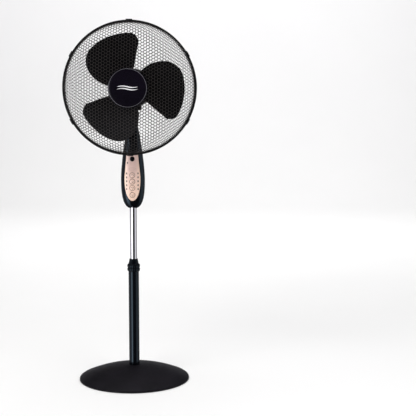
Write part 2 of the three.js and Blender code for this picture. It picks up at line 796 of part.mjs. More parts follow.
// Rotor.
const nutBack = hubFront - gap;
const shaftEnd = nutBack - 8;
add("motor_shaft", rodY(shaftRadius, shaftEnd, webFront + webThickness, 0, 0, 20), steel, head);
add("spinner_nut", spun([
  [0, nutBack - 14],
  [7, nutBack - 13],
  [12, nutBack - 8],
  [13, nutBack],
  [shaftRadius + gap, nutBack],
  [shaftRadius + gap, shaftEnd - 1],
  [0, shaftEnd - 1],
], 20), satinBlack, head);

// Outer edge of a blade, as a radius for an angle in degrees from its straight edge.
function bladeReach(angle) {
  const corner = 12;
  const cornerDrop = 23;
  const sweepFrom = 52;
  const sweepPower = 2.19; // more keeps the tail full for longer
  if (angle < corner) return bladeTip - cornerDrop * (1 - angle / corner) ** 2;
  if (angle < sweepFrom) return bladeTip;
  return bladeTip - (bladeTip - hubRadius) * ((angle - sweepFrom) / (bladeAngle - sweepFrom)) ** sweepPower;
}

// Height of the blade's middle surface along the fan's axis.
function bladeRise(angle, radius) {
  const part = angle / bladeAngle;
  const out = (radius - hubRadius) / (bladeTip - hubRadius);
  const span = bladeRootSpan + (bladeTipSpan - bladeRootSpan) * out;
  return bladeMiddle + span * (0.5 - part) + bladeCamber * Math.sin(Math.PI * part);
}

function blade(turn) {
  const angles = [0, 4, 12, 25, 38, 52, 62, 71, 79, 87, 96];
  const rows = 4;
  const root = hubRadius - 1.5;
  const points = [];
  for (const side of [-1, 1]) {
    for (const angle of angles) {
      for (let k = 0; k <= rows; k++) {
        const radius = root + ((bladeReach(angle) - root) * k) / rows;
        const theta = ((turn + angle) * Math.PI) / 180;
        const y = bladeRise(angle, radius) + (side * bladeThickness) / 2;
        points.push(radius * Math.cos(theta), y, radius * Math.sin(theta));
      }
    }
  }
  const across = rows + 1;
  const layer = angles.length * across;
  const index = [];
  const quad = (a, b, c, d) => index.push(a, b, c, a, c, d);
  for (let i = 0; i + 1 < angles.length; i++) {
    for (let k = 0; k < rows; k++) {
      const a = i * across + k;
      quad(a, a + across, a + across + 1, a + 1);
      quad(layer + a, layer + a + 1, layer + a + across + 1, layer + a + across);
    }
    const a = i * across;
    quad(a, layer + a, layer + a + across, a + across);
    quad(a + rows, a + rows + across, layer + a + rows + across, layer + a + rows);
  }
  const end = (angles.length - 1) * across;
  for (let k = 0; k < rows; k++) {
    quad(k, k + 1, layer + k + 1, layer + k);
    quad(end + k, layer + end + k, layer + end + k + 1, end + k + 1);
  }
  const geometry = new THREE.BufferGeometry();
  geometry.setAttribute("position", new THREE.Float32BufferAttribute(points, 3));
  return solid(geometry.setIndex(index));
}

const hubWall = 3;
const sleeveRadius = 10; // round the shaft, in the middle of the hub
const sleeveBack = hubBack + 20;
const hub = spun([
  [shaftRadius + gap, hubFront],
  [hubRadius - 3, hubFront],
  [hubRadius, hubFront + 4],
  [hubRadius, hubBack],
  [hubRadius - hubWall, hubBack],
  [hubRadius - hubWall, hubFront + 5],
  [sleeveRadius, hubFront + 5],
  [sleeveRadius, sleeveBack],
  [shaftRadius + gap, sleeveBack],
]);
const blades = Array.from({ length: bladeCount }, (_, i) => blade(bladeStart + (i * 360) / bladeCount));
add("fan_blade", join(hub, ...blades), glossBlack, head);

export default group;
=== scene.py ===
import math

import bpy
from mathutils import Matrix, Vector


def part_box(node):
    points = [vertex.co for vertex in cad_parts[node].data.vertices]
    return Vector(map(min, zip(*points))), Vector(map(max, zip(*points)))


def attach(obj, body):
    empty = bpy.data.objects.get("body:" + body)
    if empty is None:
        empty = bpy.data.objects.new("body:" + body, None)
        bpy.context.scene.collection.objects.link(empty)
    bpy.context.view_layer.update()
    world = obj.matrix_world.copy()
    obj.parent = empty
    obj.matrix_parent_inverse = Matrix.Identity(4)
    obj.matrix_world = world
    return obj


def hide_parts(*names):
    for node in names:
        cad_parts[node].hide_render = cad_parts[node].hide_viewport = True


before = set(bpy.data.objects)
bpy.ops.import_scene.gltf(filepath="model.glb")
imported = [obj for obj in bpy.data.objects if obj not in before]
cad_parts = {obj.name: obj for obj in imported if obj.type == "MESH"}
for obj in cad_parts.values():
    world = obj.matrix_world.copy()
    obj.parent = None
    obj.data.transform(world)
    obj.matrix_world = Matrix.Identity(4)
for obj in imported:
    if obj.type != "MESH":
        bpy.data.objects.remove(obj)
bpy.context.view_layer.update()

mm = 0.001
quarter = math.pi / 2


# small helpers for modelling by hand
def toEdit(mode="VERT"):
    bpy.ops.object.mode_set(mode="EDIT")
    bpy.ops.mesh.select_mode(type=mode)


def toObject():
    bpy.ops.object.mode_set(mode="OBJECT")


def pick(piece, mode, test):
    # selects only the vertices, edges or faces that pass a test, and stays in edit mode
    only(piece)
    toEdit(mode)
    bpy.ops.mesh.select_all(action="DESELECT")
    toObject()
    parts = {"VERT": piece.data.vertices, "EDGE": piece.data.edges, "FACE": piece.data.polygons}[mode]
    for part in parts:
        part.select = test(part)
    toEdit(mode)


def only(piece):
    bpy.ops.object.select_all(action="DESELECT")
    piece.select_set(True)
    bpy.context.view_layer.objects.active = piece


def named(name):
    piece = bpy.context.object
    piece.name = name
    piece.data.name = name
    return piece


def settle(piece):
    # place, turn and size go into the mesh
    only(piece)
    bpy.ops.object.transform_apply(location=True, rotation=True, scale=True)


def cube(name, middle, size):
    bpy.ops.object.select_all(action="DESELECT")
    bpy.ops.mesh.primitive_cube_add(size=1, location=middle, scale=size)
    piece = named(name)
    settle(piece)
    return piece

def modify(piece, kind, **settings):
    only(piece)
    modifier = piece.modifiers.new(kind.lower(), kind)
    for key, value in settings.items():
        setattr(modifier, key, value)
    bpy.ops.object.modifier_apply(modifier=modifier.name)


def ease(piece, width, segments=2, angle=30):
    # a small radius on every edge that turns more than the angle
    modify(piece, "BEVEL", width=width, segments=segments, limit_method="ANGLE",
           angle_limit=math.radians(angle))

def smooth(piece, angle=32):
    only(piece)
    bpy.ops.object.shade_smooth_by_angle(angle=math.radians(angle))


def outward(piece, merge=0.00001):
    only(piece)
    toEdit()
    bpy.ops.mesh.select_all(action="SELECT")
    bpy.ops.mesh.remove_doubles(threshold=merge)
    bpy.ops.mesh.normals_make_consistent(inside=False)
    toObject()


def joined(name, pieces):
    bpy.ops.object.select_all(action="DESELECT")
    for piece in pieces:
        piece.select_set(True)
    bpy.context.view_layer.objects.active = pieces[0]
    bpy.ops.object.join()
    return named(name)


def copyOf(piece, name, turn=None):
    twin = piece.copy()
    twin.data = piece.data.copy()
    twin.name = name
    twin.data.name = name
    bpy.context.scene.collection.objects.link(twin)
    if turn:
        twin.data.transform(turn)
    return twin


def carve(piece, tool, operation="DIFFERENCE"):
    # the tool is used up
    modify(piece, "BOOLEAN", operation=operation, object=tool, solver="EXACT")
    bpy.data.objects.remove(tool, do_unlink=True)


def rounded(points, closed=False):
    # corners given as (radius, height, fillet) become arcs of four steps
    path = []
    count = len(points)
    for i, point in enumerate(points):
        here = Vector(point[:2])
        fillet = point[2] if len(point) > 2 else 0
        if not fillet or (not closed and i in (0, count - 1)):
            path.append(here)
            continue
        toBefore = (Vector(points[i - 1][:2]) - here).normalized()
        toAfter = (Vector(points[(i + 1) % count][:2]) - here).normalized()
        halfAngle = math.acos(max(-1, min(1, toBefore.dot(toAfter)))) / 2
        reach = fillet / math.tan(halfAngle)
        start, end = here + toBefore * reach, here + toAfter * reach
        for step in range(5):
            t = step / 4
            path.append(start * (1 - t) ** 2 + here * 2 * t * (1 - t) + end * t ** 2)
    return path


def startAt(name, spot):
    # a plane merged into one vertex, ready to be pulled along
    bpy.ops.object.select_all(action="DESELECT")
    bpy.ops.mesh.primitive_plane_add(size=0.01, location=(0, 0, 0))
    piece = named(name)
    toEdit()
    bpy.ops.mesh.select_all(action="SELECT")
    bpy.ops.mesh.merge(type="CENTER")
    bpy.ops.mesh.select_all(action="SELECT")
    bpy.ops.transform.translate(value=spot)
    return piece


def turned(name, points, axis="Z", centre=(0, 0, 0), steps=96, closed=False):
    # one vertex is pulled along the profile, then the profile is spun; points are in millimetres
    path = [(r * mm, h * mm) for r, h in rounded(points, closed)]
    place = (lambda r, h: (r, 0, h)) if axis == "Z" else (lambda r, h: (r, h, 0))
    spots = [Vector(place(r, h)) for r, h in path]
    piece = startAt(name, spots[0])
    for before, after in zip(spots, spots[1:]):
        bpy.ops.mesh.extrude_region_move(TRANSFORM_OT_translate={"value": after - before})
    if closed:
        bpy.ops.mesh.extrude_region_move(TRANSFORM_OT_translate={"value": spots[0] - spots[-1]})
    bpy.ops.mesh.select_all(action="SELECT")
    bpy.ops.mesh.spin(steps=steps, angle=2 * math.pi, center=(0, 0, 0),
                      axis=(0, 0, 1) if axis == "Z" else (0, 1, 0))
    toObject()
    piece.data.transform(Matrix.Translation(Vector(centre)))
    outward(piece)
    smooth(piece)
    return piece


def ribbon(name, path, width, depth, steps=20, thickness=0.3):
    # a flat strip along a path on the face: path and width are functions from 0 to 1, in millimetres
    bpy.ops.object.select_all(action="DESELECT")
    bpy.ops.mesh.primitive_grid_add(x_subdivisions=steps, y_subdivisions=1, size=1)
    strip = named(name)
    for vertex in strip.data.vertices:
        t = vertex.co.x + 0.5
        here = Vector(path(t))
        along = (Vector(path(min(1, t + 0.01))) - Vector(path(max(0, t - 0.01)))).normalized()
        x, z = here + Vector((-along.y, along.x)) * vertex.co.y * width(t)
        vertex.co = (x * mm, depth(x, z) * mm, z * mm)
    modify(strip, "SOLIDIFY", thickness=thickness * mm, offset=0)
    outward(strip, 0.0000001)
    return strip


# shader writing
def tint(colour, level=1.0):
    return [c * level for c in colour] + [1]


class Link:
    # a socket that can stand in a sum
    def __init__(self, finish, socket):
        self.finish, self.socket = finish, socket

    def sum(self, operation, a, b):
        return self.finish.node("Math", {"operation": operation}, {0: a, 1: b})

    def __add__(self, other):
        return self.sum("ADD", self, other)

    def __mul__(self, other):
        return self.sum("MULTIPLY", self, other)

    __radd__ = __add__
    __rmul__ = __mul__


class Shading:
    def __init__(self, tree):
        self.tree = tree

    def node(self, kind, settings=None, inputs=None, output=0):
        made = self.tree.nodes.new("ShaderNode" + kind)
        for key, value in (settings or {}).items():
            if key == "stops":
                ramp = made.color_ramp.elements
                while len(ramp) < len(value):
                    ramp.new(0.5)
                for stop, (place, colour) in zip(ramp, value):
                    stop.position, stop.color = place, colour
            else:
                setattr(made, key, value)
        for key, value in (inputs or {}).items():
            if isinstance(value, Link):
                self.tree.links.new(value.socket, made.inputs[key])
            else:
                made.inputs[key].default_value = value
        return Link(self, made.outputs[output])

    def ramp(self, value, low, high, bottom=0.0, top=1.0):
        return self.node("MapRange", None, {"Value": value, "From Min": low, "From Max": high,
                                            "To Min": bottom, "To Max": top})


class Finish(Shading):
    def __init__(self, name, **values):
        self.material = bpy.data.materials.new(name)
        self.material.use_nodes = True
        super().__init__(self.material.node_tree)
        self.shader = self.tree.nodes["Principled BSDF"]
        for key, value in values.items():
            self.shader.inputs[key.replace("_", " ")].default_value = value

    def coords(self, scale=(1, 1, 1), place=(0, 0, 0)):
        raw = self.node("TexCoord", output="Object")
        return self.node("Mapping", None, {"Vector": raw, "Scale": scale, "Location": place})

    def noise(self, size, detail=3, stretch=(1, 1, 1)):
        # size is the width of one blotch in metres
        values = {"Vector": self.coords(stretch), "Scale": 1 / size, "Detail": detail}
        return self.node("TexNoise", None, values)

    def mix(self, factor, first, second):
        return self.node("Mix", {"data_type": "RGBA"}, {0: factor, 6: first, 7: second}, output=2)

    def feed(self, key, value):
        self.tree.links.new(value.socket, self.shader.inputs[key])

    def bump(self, height, depth):
        made = self.node("Bump", None, {"Height": height, "Distance": depth, "Strength": 1.0})
        self.feed("Normal", made)


def mouldedBlack(name, tone, rough, grain, spread=0.06, gloss=0.5, flecks=0.0, sheen=(1, 1, 1, 1)):
    # moulded plastic: faint cloudiness, a fine grain, handling marks in the gloss
    finish = Finish(name, Specular_IOR_Level=gloss, Specular_Tint=sheen)
    cloud = finish.noise(0.09, 4)
    fine = finish.noise(0.0011, 2)
    marks = finish.noise(0.016, 6, (1, 1, 0.35))
    dark = tint(tone, 0.72)
    light = tint(tone, 1.3)
    colour = finish.mix(finish.ramp(cloud, 0.3, 0.7), dark, light)
    if flecks:
        dust = finish.ramp(finish.noise(0.0026, 1), 0.74, 0.8)
        colour = finish.mix(dust * flecks, colour, (0.2, 0.19, 0.18, 1))
    finish.feed("Base Color", colour)
    finish.feed("Roughness", finish.ramp(marks, 0.3, 0.75, rough - spread / 2, rough + spread))
    finish.bump(fine * 0.6 + cloud * 0.4, grain)
    return finish.material


def polishedMetal(name, tone, rough, stretch=(1, 1, 1), depth=0.000004, metallic=1.0):
    finish = Finish(name, Metallic=metallic)
    streak = finish.noise(0.0016, 3, stretch)
    haze = finish.noise(0.05, 4)
    low = tint(tone, 0.93)
    finish.feed("Base Color", finish.mix(finish.ramp(haze, 0.3, 0.7), low, tint(tone)))
    finish.feed("Roughness", finish.ramp(haze * 0.5 + streak * 0.5, 0.3, 0.7, rough * 0.7, rough * 1.4))
    finish.bump(streak, depth)
    return finish.material


# camera, floor and light
view = {"lens": 90.9, "place": (0.3, -3.5, 0.986), "pitch": -6.52, "turn": 0.8}


def makeCamera():
    pitch, turn = math.radians(view["pitch"]), math.radians(view["turn"])
    bpy.ops.object.camera_add(location=view["place"], rotation=(quarter + pitch, 0, turn))
    camera = bpy.context.object
    camera.data.lens = view["lens"]
    camera.data.sensor_width = 36
    bpy.context.scene.camera = camera
    bpy.context.scene.view_settings.view_transform = "Standard"


studio = {
    "floorSize": 14, "backdrop": 6, "sweep": 2.0, "floorTone": (0.8, 0.798, 0.796, 1),
    "glow": 0.14, "ambient": 0.02, "overhead": 0.8, "seen": (0.95, 0.95, 0.95, 1),
    "ringTint": (0.985, 0.975, 1.04),
    "ring": [  # degrees round the horizon from the camera's side, and brightness
        (-180, 0.42), (-110, 0.36), (-70, 0.4), (-58, 0.5), (-51, 3.2), (-30, 3.2), (-19, 0.05), (14, 0.03),
        (48, 0.05), (60, 0.75), (92, 0.7), (112, 0.26), (128, 0.13), (145, 0.18), (180, 0.42)],
    "panels": [  # place, what it faces, width, height, watts, colour
        ((-1.9, -3.2, 3.3), (0, 0, 0.6), 2.4, 2.4, 113, (1, 0.985, 0.97)),
        ((2.4, -2.9, 2.2), (0, 0, 0.6), 1.8, 2.2, 54, (0.96, 0.97, 1)),
        ((0.2, 0.6, 4.2), (0, 0.2, 0), 3.2, 3.2, 80, (1, 1, 1)),
        ((0.6, 3.0, 3.4), (0.4, 6.5, 1.0), 4.0, 2.0, 97, (1, 1, 1)),
    ],
}


def makeRoom():
    # soft boxes painted on the sky: tall strips round the horizon, a pale ceiling, dark in between
    world = bpy.data.worlds.new("softRoom")
    world.use_nodes = True
    bpy.context.scene.world = world
    room = Shading(world.node_tree)
    ray = room.node("TexCoord", output="Generated")
    x, y, z = (room.node("SeparateXYZ", None, {0: ray}, output=i) for i in range(3))
    around = room.node("Math", {"operation": "ARCTAN2"}, {0: x, 1: y * -1}) * (0.5 / math.pi) + 0.5
    stops = [(degrees / 360 + 0.5, tint(studio["ringTint"], level)) for degrees, level in studio["ring"]]
    strips = room.node("ValToRGB", {"stops": stops}, {0: around})
    band = room.ramp(z, 0.3, 0.1) * room.ramp(z, -0.8, -0.4, 0.25, 1)
    above = room.ramp(z, 0.72, 0.92, 0, studio["overhead"]) + studio["ambient"]
    lit = room.node("VectorMath", {"operation": "SCALE"}, {0: strips, "Scale": band})
    sky = room.node("VectorMath", {"operation": "ADD"}, {0: lit, 1: above})
    # the camera itself sees plain white instead
    seen = room.node("LightPath", output="Is Camera Ray")
    shown = room.node("Mix", {"data_type": "RGBA"}, {0: seen, 6: sky, 7: studio["seen"]}, output=2)
    room.tree.links.new(shown.socket, room.tree.nodes["Background"].inputs["Color"])


def makeStudio():
    size = studio["floorSize"]
    bpy.ops.mesh.primitive_plane_add(size=size, location=(0, 0, 0))
    floor = named("floor")

    def farEdge(edge):
        ends = [floor.data.vertices[i].co for i in edge.vertices]
        return all(v.y > size * 0.4 and abs(v.z) < 0.01 for v in ends)

    pick(floor, "EDGE", farEdge)  # the far edge rises into a backdrop
    bpy.ops.mesh.extrude_region_move(TRANSFORM_OT_translate={"value": (0, 0, studio["backdrop"])})
    toObject()
    pick(floor, "EDGE", farEdge)
    bpy.ops.mesh.bevel(offset=studio["sweep"], segments=16, affect="EDGES")
    toObject()
    smooth(floor, 60)
    finish = Finish("paleFloor", Roughness=0.8, Specular_IOR_Level=0.1, Emission_Color=studio["floorTone"],
                    Emission_Strength=studio["glow"])
    tone = studio["floorTone"]
    soft = finish.ramp(finish.noise(0.8, 2), 0.3, 0.7)
    finish.feed("Base Color", finish.mix(soft, tone, tint(tone[:3], 0.985)))
    floor.data.materials.append(finish.material)
    floor.visible_glossy = False  # polished parts show the soft boxes, not the floor
    for place, target, width, height, watts, colour in studio["panels"]:
        aim = (Vector(target) - Vector(place)).to_track_quat("-Z", "Y").to_euler()
        bpy.ops.object.light_add(type="AREA", location=place, rotation=aim)
        bpy.context.object.visible_glossy = False  # it lights, and the painted soft boxes are what shines
        lamp = bpy.context.object.data
        lamp.shape = "RECTANGLE"
        lamp.size, lamp.size_y = width, height
        lamp.energy = watts
        lamp.color = colour


makeCamera()
makeRoom()
makeStudio()
print("camera, floor and light are set")


# finishes shared by several pieces
satinBlack = mouldedBlack("satinBlack", (0.0055, 0.0053, 0.006), 0.34, 0.00003, 0.08, 0.3)
baseBlack = mouldedBlack("baseBlack", (0.0088, 0.008, 0.0104), 0.42, 0.00002, 0.07, 0.1)
glossBlack = mouldedBlack("glossBlack", (0.0018, 0.002, 0.0032), 0.09, 0.000004, 0.04, 0.4,
                          sheen=(0.62, 0.84, 1, 1))
chromePlate = polishedMetal("chromePlate", (0.86, 0.86, 0.88), 0.07, (1, 1, 0.05), 0.0000015)
bareSteel = polishedMetal("bareSteel", (0.55, 0.55, 0.56), 0.3)


def cadFinish(names, material):
    for name in names:
        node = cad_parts[name]
        node.data.materials.clear()
        node.data.materials.append(material)


def settleOn(piece, body, slot, material, *nodes):
    # the last step for every piece: its finish, its body and the nodes it stands for
    piece.data.materials.clear()
    piece.data.materials.append(material)
    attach(piece, body)
    if nodes:
        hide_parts(*nodes)


# base
coverLow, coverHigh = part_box("base_cover")
base = {
    "radius": coverHigh.x / mm, "top": coverHigh.z / mm, "low": coverLow.z / mm,
    "edge": 8.0, "wall": 2.5, "hole": 17.8, "stations": 14,
}


def domeAt(r):
    return base["top"] - (base["top"] - base["edge"]) * (r / base["radius"]) ** 2


def makeBase():
    outer = base["radius"]
    inner = outer - base["wall"]
    hole, low, lip, stations = base["hole"], base["low"], base["edge"], base["stations"]
    radii = [hole + (inner - 3 - hole) * i / stations for i in range(stations + 1)]
    top = [(r, domeAt(r)) for r in radii]
    edge = [(inner + 1.2, lip - 0.5, 1.2), (outer - 0.9, lip - 1.2, 0.5), (outer - 0.8, lip - 2.2, 0.4),
            (outer, lip - 2.5, 0.5), (outer, low + 0.5, 0.4), (outer - 0.6, low), (inner, low),
            (inner, lip - 3.5)]
    under = [(r, domeAt(r) - base["wall"]) for r in reversed(radii)]
    cover = turned("baseCover", top + edge + under, steps=160, closed=True)
    settleOn(cover, "stand", "satin_black", baseBlack, "base_cover")


tubeWall = 1.2

def makePole():
    low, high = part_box("lower_tube")
    radius, bottom, top = high.x / mm, low.z / mm, high.z / mm
    inner = radius - tubeWall
    tube = turned("lowerTube", [
        (inner, bottom), (radius, bottom), (radius, top - 0.4), (radius - 0.4, top), (inner, top)],
        steps=96, closed=True)
    settleOn(tube, "stand", "painted_black", glossBlack, "lower_tube")
    low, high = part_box("upper_tube")
    radius, bottom, top = high.x / mm, low.z / mm, high.z / mm
    inner = radius - tubeWall
    tube = turned("upperTube", [
        (inner, bottom), (radius, bottom, 0.3), (radius, top, 0.3), (inner, top)], steps=96, closed=True)
    settleOn(tube, "mast", "chrome", chromePlate, "upper_tube")


lockNut = {
    "waist": 1.7, "lobes": 12, "lobeDepth": 1.0, "bore": 17.9, "thread": 15.4, "seat": 3.0, "cone": 18.0,
}


def makeLockNut():
    low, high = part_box("height_lock_nut")
    radius = high.x / mm
    bottom, top = low.z / mm, high.z / mm
    gripTop = top - lockNut["cone"]
    step = (gripTop - bottom) / 4
    bore, thread, seat = lockNut["bore"], lockNut["thread"], bottom + lockNut["seat"]
    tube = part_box("upper_tube")[1].x / mm
    profile = [
        (bore, bottom), (radius - 1.8, bottom, 0.8), (radius, bottom + step * 0.7, 2.2),
        (radius, bottom + step * 1.5, 2.0), (radius - lockNut["waist"], bottom + step * 2, 1.6),
        (radius, bottom + step * 2.5, 2.0), (radius, bottom + step * 3.4, 2.2), (radius - 2.2, gripTop, 1.0),
        (radius - 4.2, gripTop + 0.8, 0.8), (tube + 2.4, top - 1.4, 1.2), (tube + 1.4, top, 0.5),
        (tube + 0.5, top), (tube + 0.5, top - 1.5), (thread, gripTop + 0.8), (thread, seat), (bore, seat),
    ]
    nut = turned("heightLockNut", profile, steps=192, closed=True)
    for vertex in nut.data.vertices:  # shallow lobes for the fingers, fading out into the cone
        flat = Vector((vertex.co.x, vertex.co.y))
        if flat.length < (radius - 3.4) * mm or vertex.co.z > (gripTop - 0.5) * mm:
            continue
        wave = 0.5 - 0.5 * math.cos(math.atan2(flat.y, flat.x) * lockNut["lobes"])
        shrink = 1 - lockNut["lobeDepth"] * mm / flat.length * wave ** 3
        vertex.co.x *= shrink
        vertex.co.y *= shrink
    settleOn(nut, "lock_nut", "satin_black", glossBlack, "height_lock_nut")


makeBase()
makePole()
makeLockNut()
print("base and pole are made")


# guards: honeycomb mesh, rims, clips and cap
rimLow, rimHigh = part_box("front_rim")
rearRimLow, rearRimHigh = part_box("rear_rim")
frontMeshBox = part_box("front_guard")
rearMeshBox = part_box("rear_guard")
capLow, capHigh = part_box("center_cap")
axisZ = (rimLow.z + rimHigh.z) / 2
guard = {
    "pitch": 0.0103, "strand": 0.00155, "turn": 29, "power": 2.6, "stations": 400,
    "frontHole": 0.052, "rearHole": 0.034, "edge": frontMeshBox[1].x, "inset": 0.0007,
}

def aboutAxis(turn):
    # a turn round the fan's axis
    axis = Matrix.Translation((0, 0, axisZ))
    return axis @ Matrix.Rotation(turn, 4, "Y") @ axis.inverted()

def scallop(piece, beyond, depth):
    # finger grips round a nut on the fan's axis: depth gives a share of the radius for a turn
    for vertex in piece.data.vertices:
        flat = Vector((vertex.co.x, vertex.co.z - axisZ))
        if flat.length > beyond:
            shrink = 1 - depth(math.atan2(flat.y, flat.x))
            vertex.co.x *= shrink
            vertex.co.z = axisZ + flat.y * shrink


def guardFinish():
    # black enamel on thin wire: a warm sheen where it catches the light
    finish = Finish("guardWire", Specular_IOR_Level=0.35)
    patch = finish.noise(0.02, 3)
    dust = finish.ramp(finish.noise(0.003, 2), 0.4, 0.75)
    worn = finish.mix(dust, (0.018, 0.016, 0.015, 1), (0.045, 0.039, 0.036, 1))
    finish.feed("Base Color", worn)
    finish.feed("Roughness", finish.ramp(patch, 0.3, 0.7, 0.3, 0.5))
    finish.bump(dust, 0.00002)
    return finish.material


def domeCurve(depth, side, start):
    # distance along the dome from its middle, paired with radius and y
    curve = []
    travelled = 0.0
    edge = guard["edge"] - guard["inset"]
    for i in range(guard["stations"] + 1):
        turn = quarter * i / guard["stations"]
        r = edge * math.sin(turn) ** (2 / guard["power"])
        rise = depth * max(0.0, 1 - (r / edge) ** guard["power"]) ** (1 / guard["power"])
        spot = Vector((r, start + side * rise))
        if curve:
            travelled += (spot - curve[-1][1]).length
        curve.append((travelled, spot))
    return curve


def alongDome(curve, distance):
    low, high = 0, len(curve) - 1
    while high - low > 1:
        middle = (low + high) // 2
        if curve[middle][0] < distance:
            low = middle
        else:
            high = middle
    span = curve[high][0] - curve[low][0]
    part = (distance - curve[low][0]) / span if span else 0
    return curve[low][1].lerp(curve[high][1], max(0.0, min(1.0, part)))


def makeMesh(name, depth, side, start, hole):
    # one hexagon is repeated into a flat sheet, trimmed round, and drawn into the dome
    curve = domeCurve(depth, side, start)
    reach = curve[-1][0]
    pitch = guard["pitch"]
    rowStep = pitch * math.sqrt(3) / 2
    rows = 2 * int(reach / rowStep) + 4
    across = int((2 * reach + rows * pitch / 2) / pitch) + 4
    bpy.ops.object.select_all(action="DESELECT")
    bpy.ops.mesh.primitive_circle_add(vertices=6, radius=pitch / math.sqrt(3), fill_type="NGON")
    sheet = named(name)
    for count, step in ((across, (pitch, 0, 0)), (rows, (-pitch / 2, rowStep, 0))):
        modify(sheet, "ARRAY", count=count, use_relative_offset=False, use_constant_offset=True,
               constant_offset_displace=step, use_merge_vertices=True, merge_threshold=pitch * 0.05)
    middleRow = rows // 2
    shift = Vector((middleRow * pitch / 2 - across // 2 * pitch, -middleRow * rowStep, 0))
    sheet.data.transform(Matrix.Rotation(math.radians(guard["turn"]), 4, "Z") @ Matrix.Translation(shift))
    nearestHole = next(distance for distance, spot in curve if spot.x >= hole)

    def outOfDome(face):
        spans = [sheet.data.vertices[i].co.length for i in face.vertices]
        return min(spans) > reach - pitch * 0.12 or max(spans) < nearestHole + pitch * 0.12

    pick(sheet, "FACE", outOfDome)
    bpy.ops.mesh.delete(type="FACE")
    bpy.ops.mesh.select_all(action="SELECT")
    toObject()
    for vertex in sheet.data.vertices:
        flat = Vector((vertex.co.x, vertex.co.y))
        distance = max(nearestHole, min(reach, flat.length))
        spot = alongDome(curve, distance)
        flat.normalize()
        vertex.co = (flat.x * spot.x, spot.y, axisZ + flat.y * spot.x)
    outward(sheet, pitch * 0.04)
    modify(sheet, "WIREFRAME", thickness=guard["strand"], use_even_offset=False, use_boundary=True,
           use_replace=True)
    outward(sheet)
    only(sheet)
    bpy.ops.object.shade_smooth()
    return sheet


def makeGuards():
    wire = guardFinish()
    start = (rimLow.y + rimHigh.y) / 2
    front = makeMesh("frontGuard", start - frontMeshBox[0].y - guard["strand"], -1, start, guard["frontHole"])
    settleOn(front, "head", "painted_black", wire, "front_guard")
    start = (rearRimLow.y + rearRimHigh.y) / 2
    rear = makeMesh("rearGuard", rearMeshBox[1].y - start - guard["strand"], 1, start, guard["rearHole"])
    settleOn(rear, "head", "painted_black", wire, "rear_guard")
    print("guard mesh:", len(front.data.polygons), "and", len(rear.data.polygons), "faces")


rim = {"width": 6.2, "beadHalf": 3.5, "beadHeight": 2.2}

def makeRims():
    outer = rimHigh.x / mm
    inner = outer - rim["width"]
    centre = (0, 0, axisZ)
    for name, meet, face, node in (("frontRim", rimHigh.y, rimLow.y, "front_rim"),
                                   ("rearRim", rearRimLow.y, rearRimHigh.y, "rear_rim")):
        meet, face = meet / mm, face / mm
        ring = turned(name, [(inner, meet), (inner, face, 1.2), (outer, face, 2.2), (outer, meet, 0.4)],
                      "Y", centre, 160, True)
        settleOn(ring, "head", "painted_black", satinBlack, node)
    # turned bead where the mesh is folded in behind the cap and at the motor
    for name, y, hole, side in (("frontHoleRing", frontMeshBox[0].y, guard["frontHole"], 1),
                                ("rearHoleRing", rearMeshBox[1].y, guard["rearHole"], -1)):
        flat = y / mm + side * 0.3
        crest = flat + side * rim["beadHeight"]
        low, high = hole / mm - rim["beadHalf"], hole / mm + rim["beadHalf"]
        ring = turned(name, [(low, flat), (high, flat, 0.6), (high, crest, 0.8), (low, crest)],
                      "Y", centre, 96, True)
        settleOn(ring, "head", "painted_black", satinBlack)


clip = {"count": 6, "width": 0.020, "wall": 0.0019, "ribInset": 0.0035, "rib": 0.0011, "bevel": 0.0007}


def makeClips():
    low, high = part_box("rim_clip_1")
    wall, rib = clip["wall"], clip["rib"]
    size = Vector((clip["width"], high.y - low.y, high.z - low.z))
    middle = (low + high) / 2
    first = cube("rimClip1", middle, size)
    # the mouth over both rims
    carve(first, cube("mouth", middle - Vector((0, 0, wall)), (size.x * 2, size.y - wall * 2, size.z)))
    # three ribs on the crown
    ribs = [cube("rib", (middle.x, y, high.z - 0.0004), (size.x * 0.7, rib, rib))
            for y in (low.y + clip["ribInset"], middle.y, high.y - clip["ribInset"])]
    for bar in ribs:
        carve(first, bar, "UNION")
    ease(first, clip["bevel"])
    overshoot = max(v.co.z for v in first.data.vertices) - high.z
    first.data.transform(Matrix.Translation((0, 0, -max(0.0, overshoot))))
    smooth(first)
    pieces = [first]
    for i in range(1, clip["count"]):
        pieces.append(copyOf(first, f"rimClip{i + 1}", aboutAxis(-i * 2 * math.pi / clip["count"])))
    for i, piece in enumerate(pieces):
        settleOn(piece, "head", "satin_black", satinBlack, f"rim_clip_{i + 1}")


cap = {
    "spigot": 50.0, "spigotWall": 2.0, "groove": 3.0, "trim": 0.75,
    "markWidth": 66.0, "markHeight": 15.0, "markSwing": 2.4, "markStroke": 3.3,
}


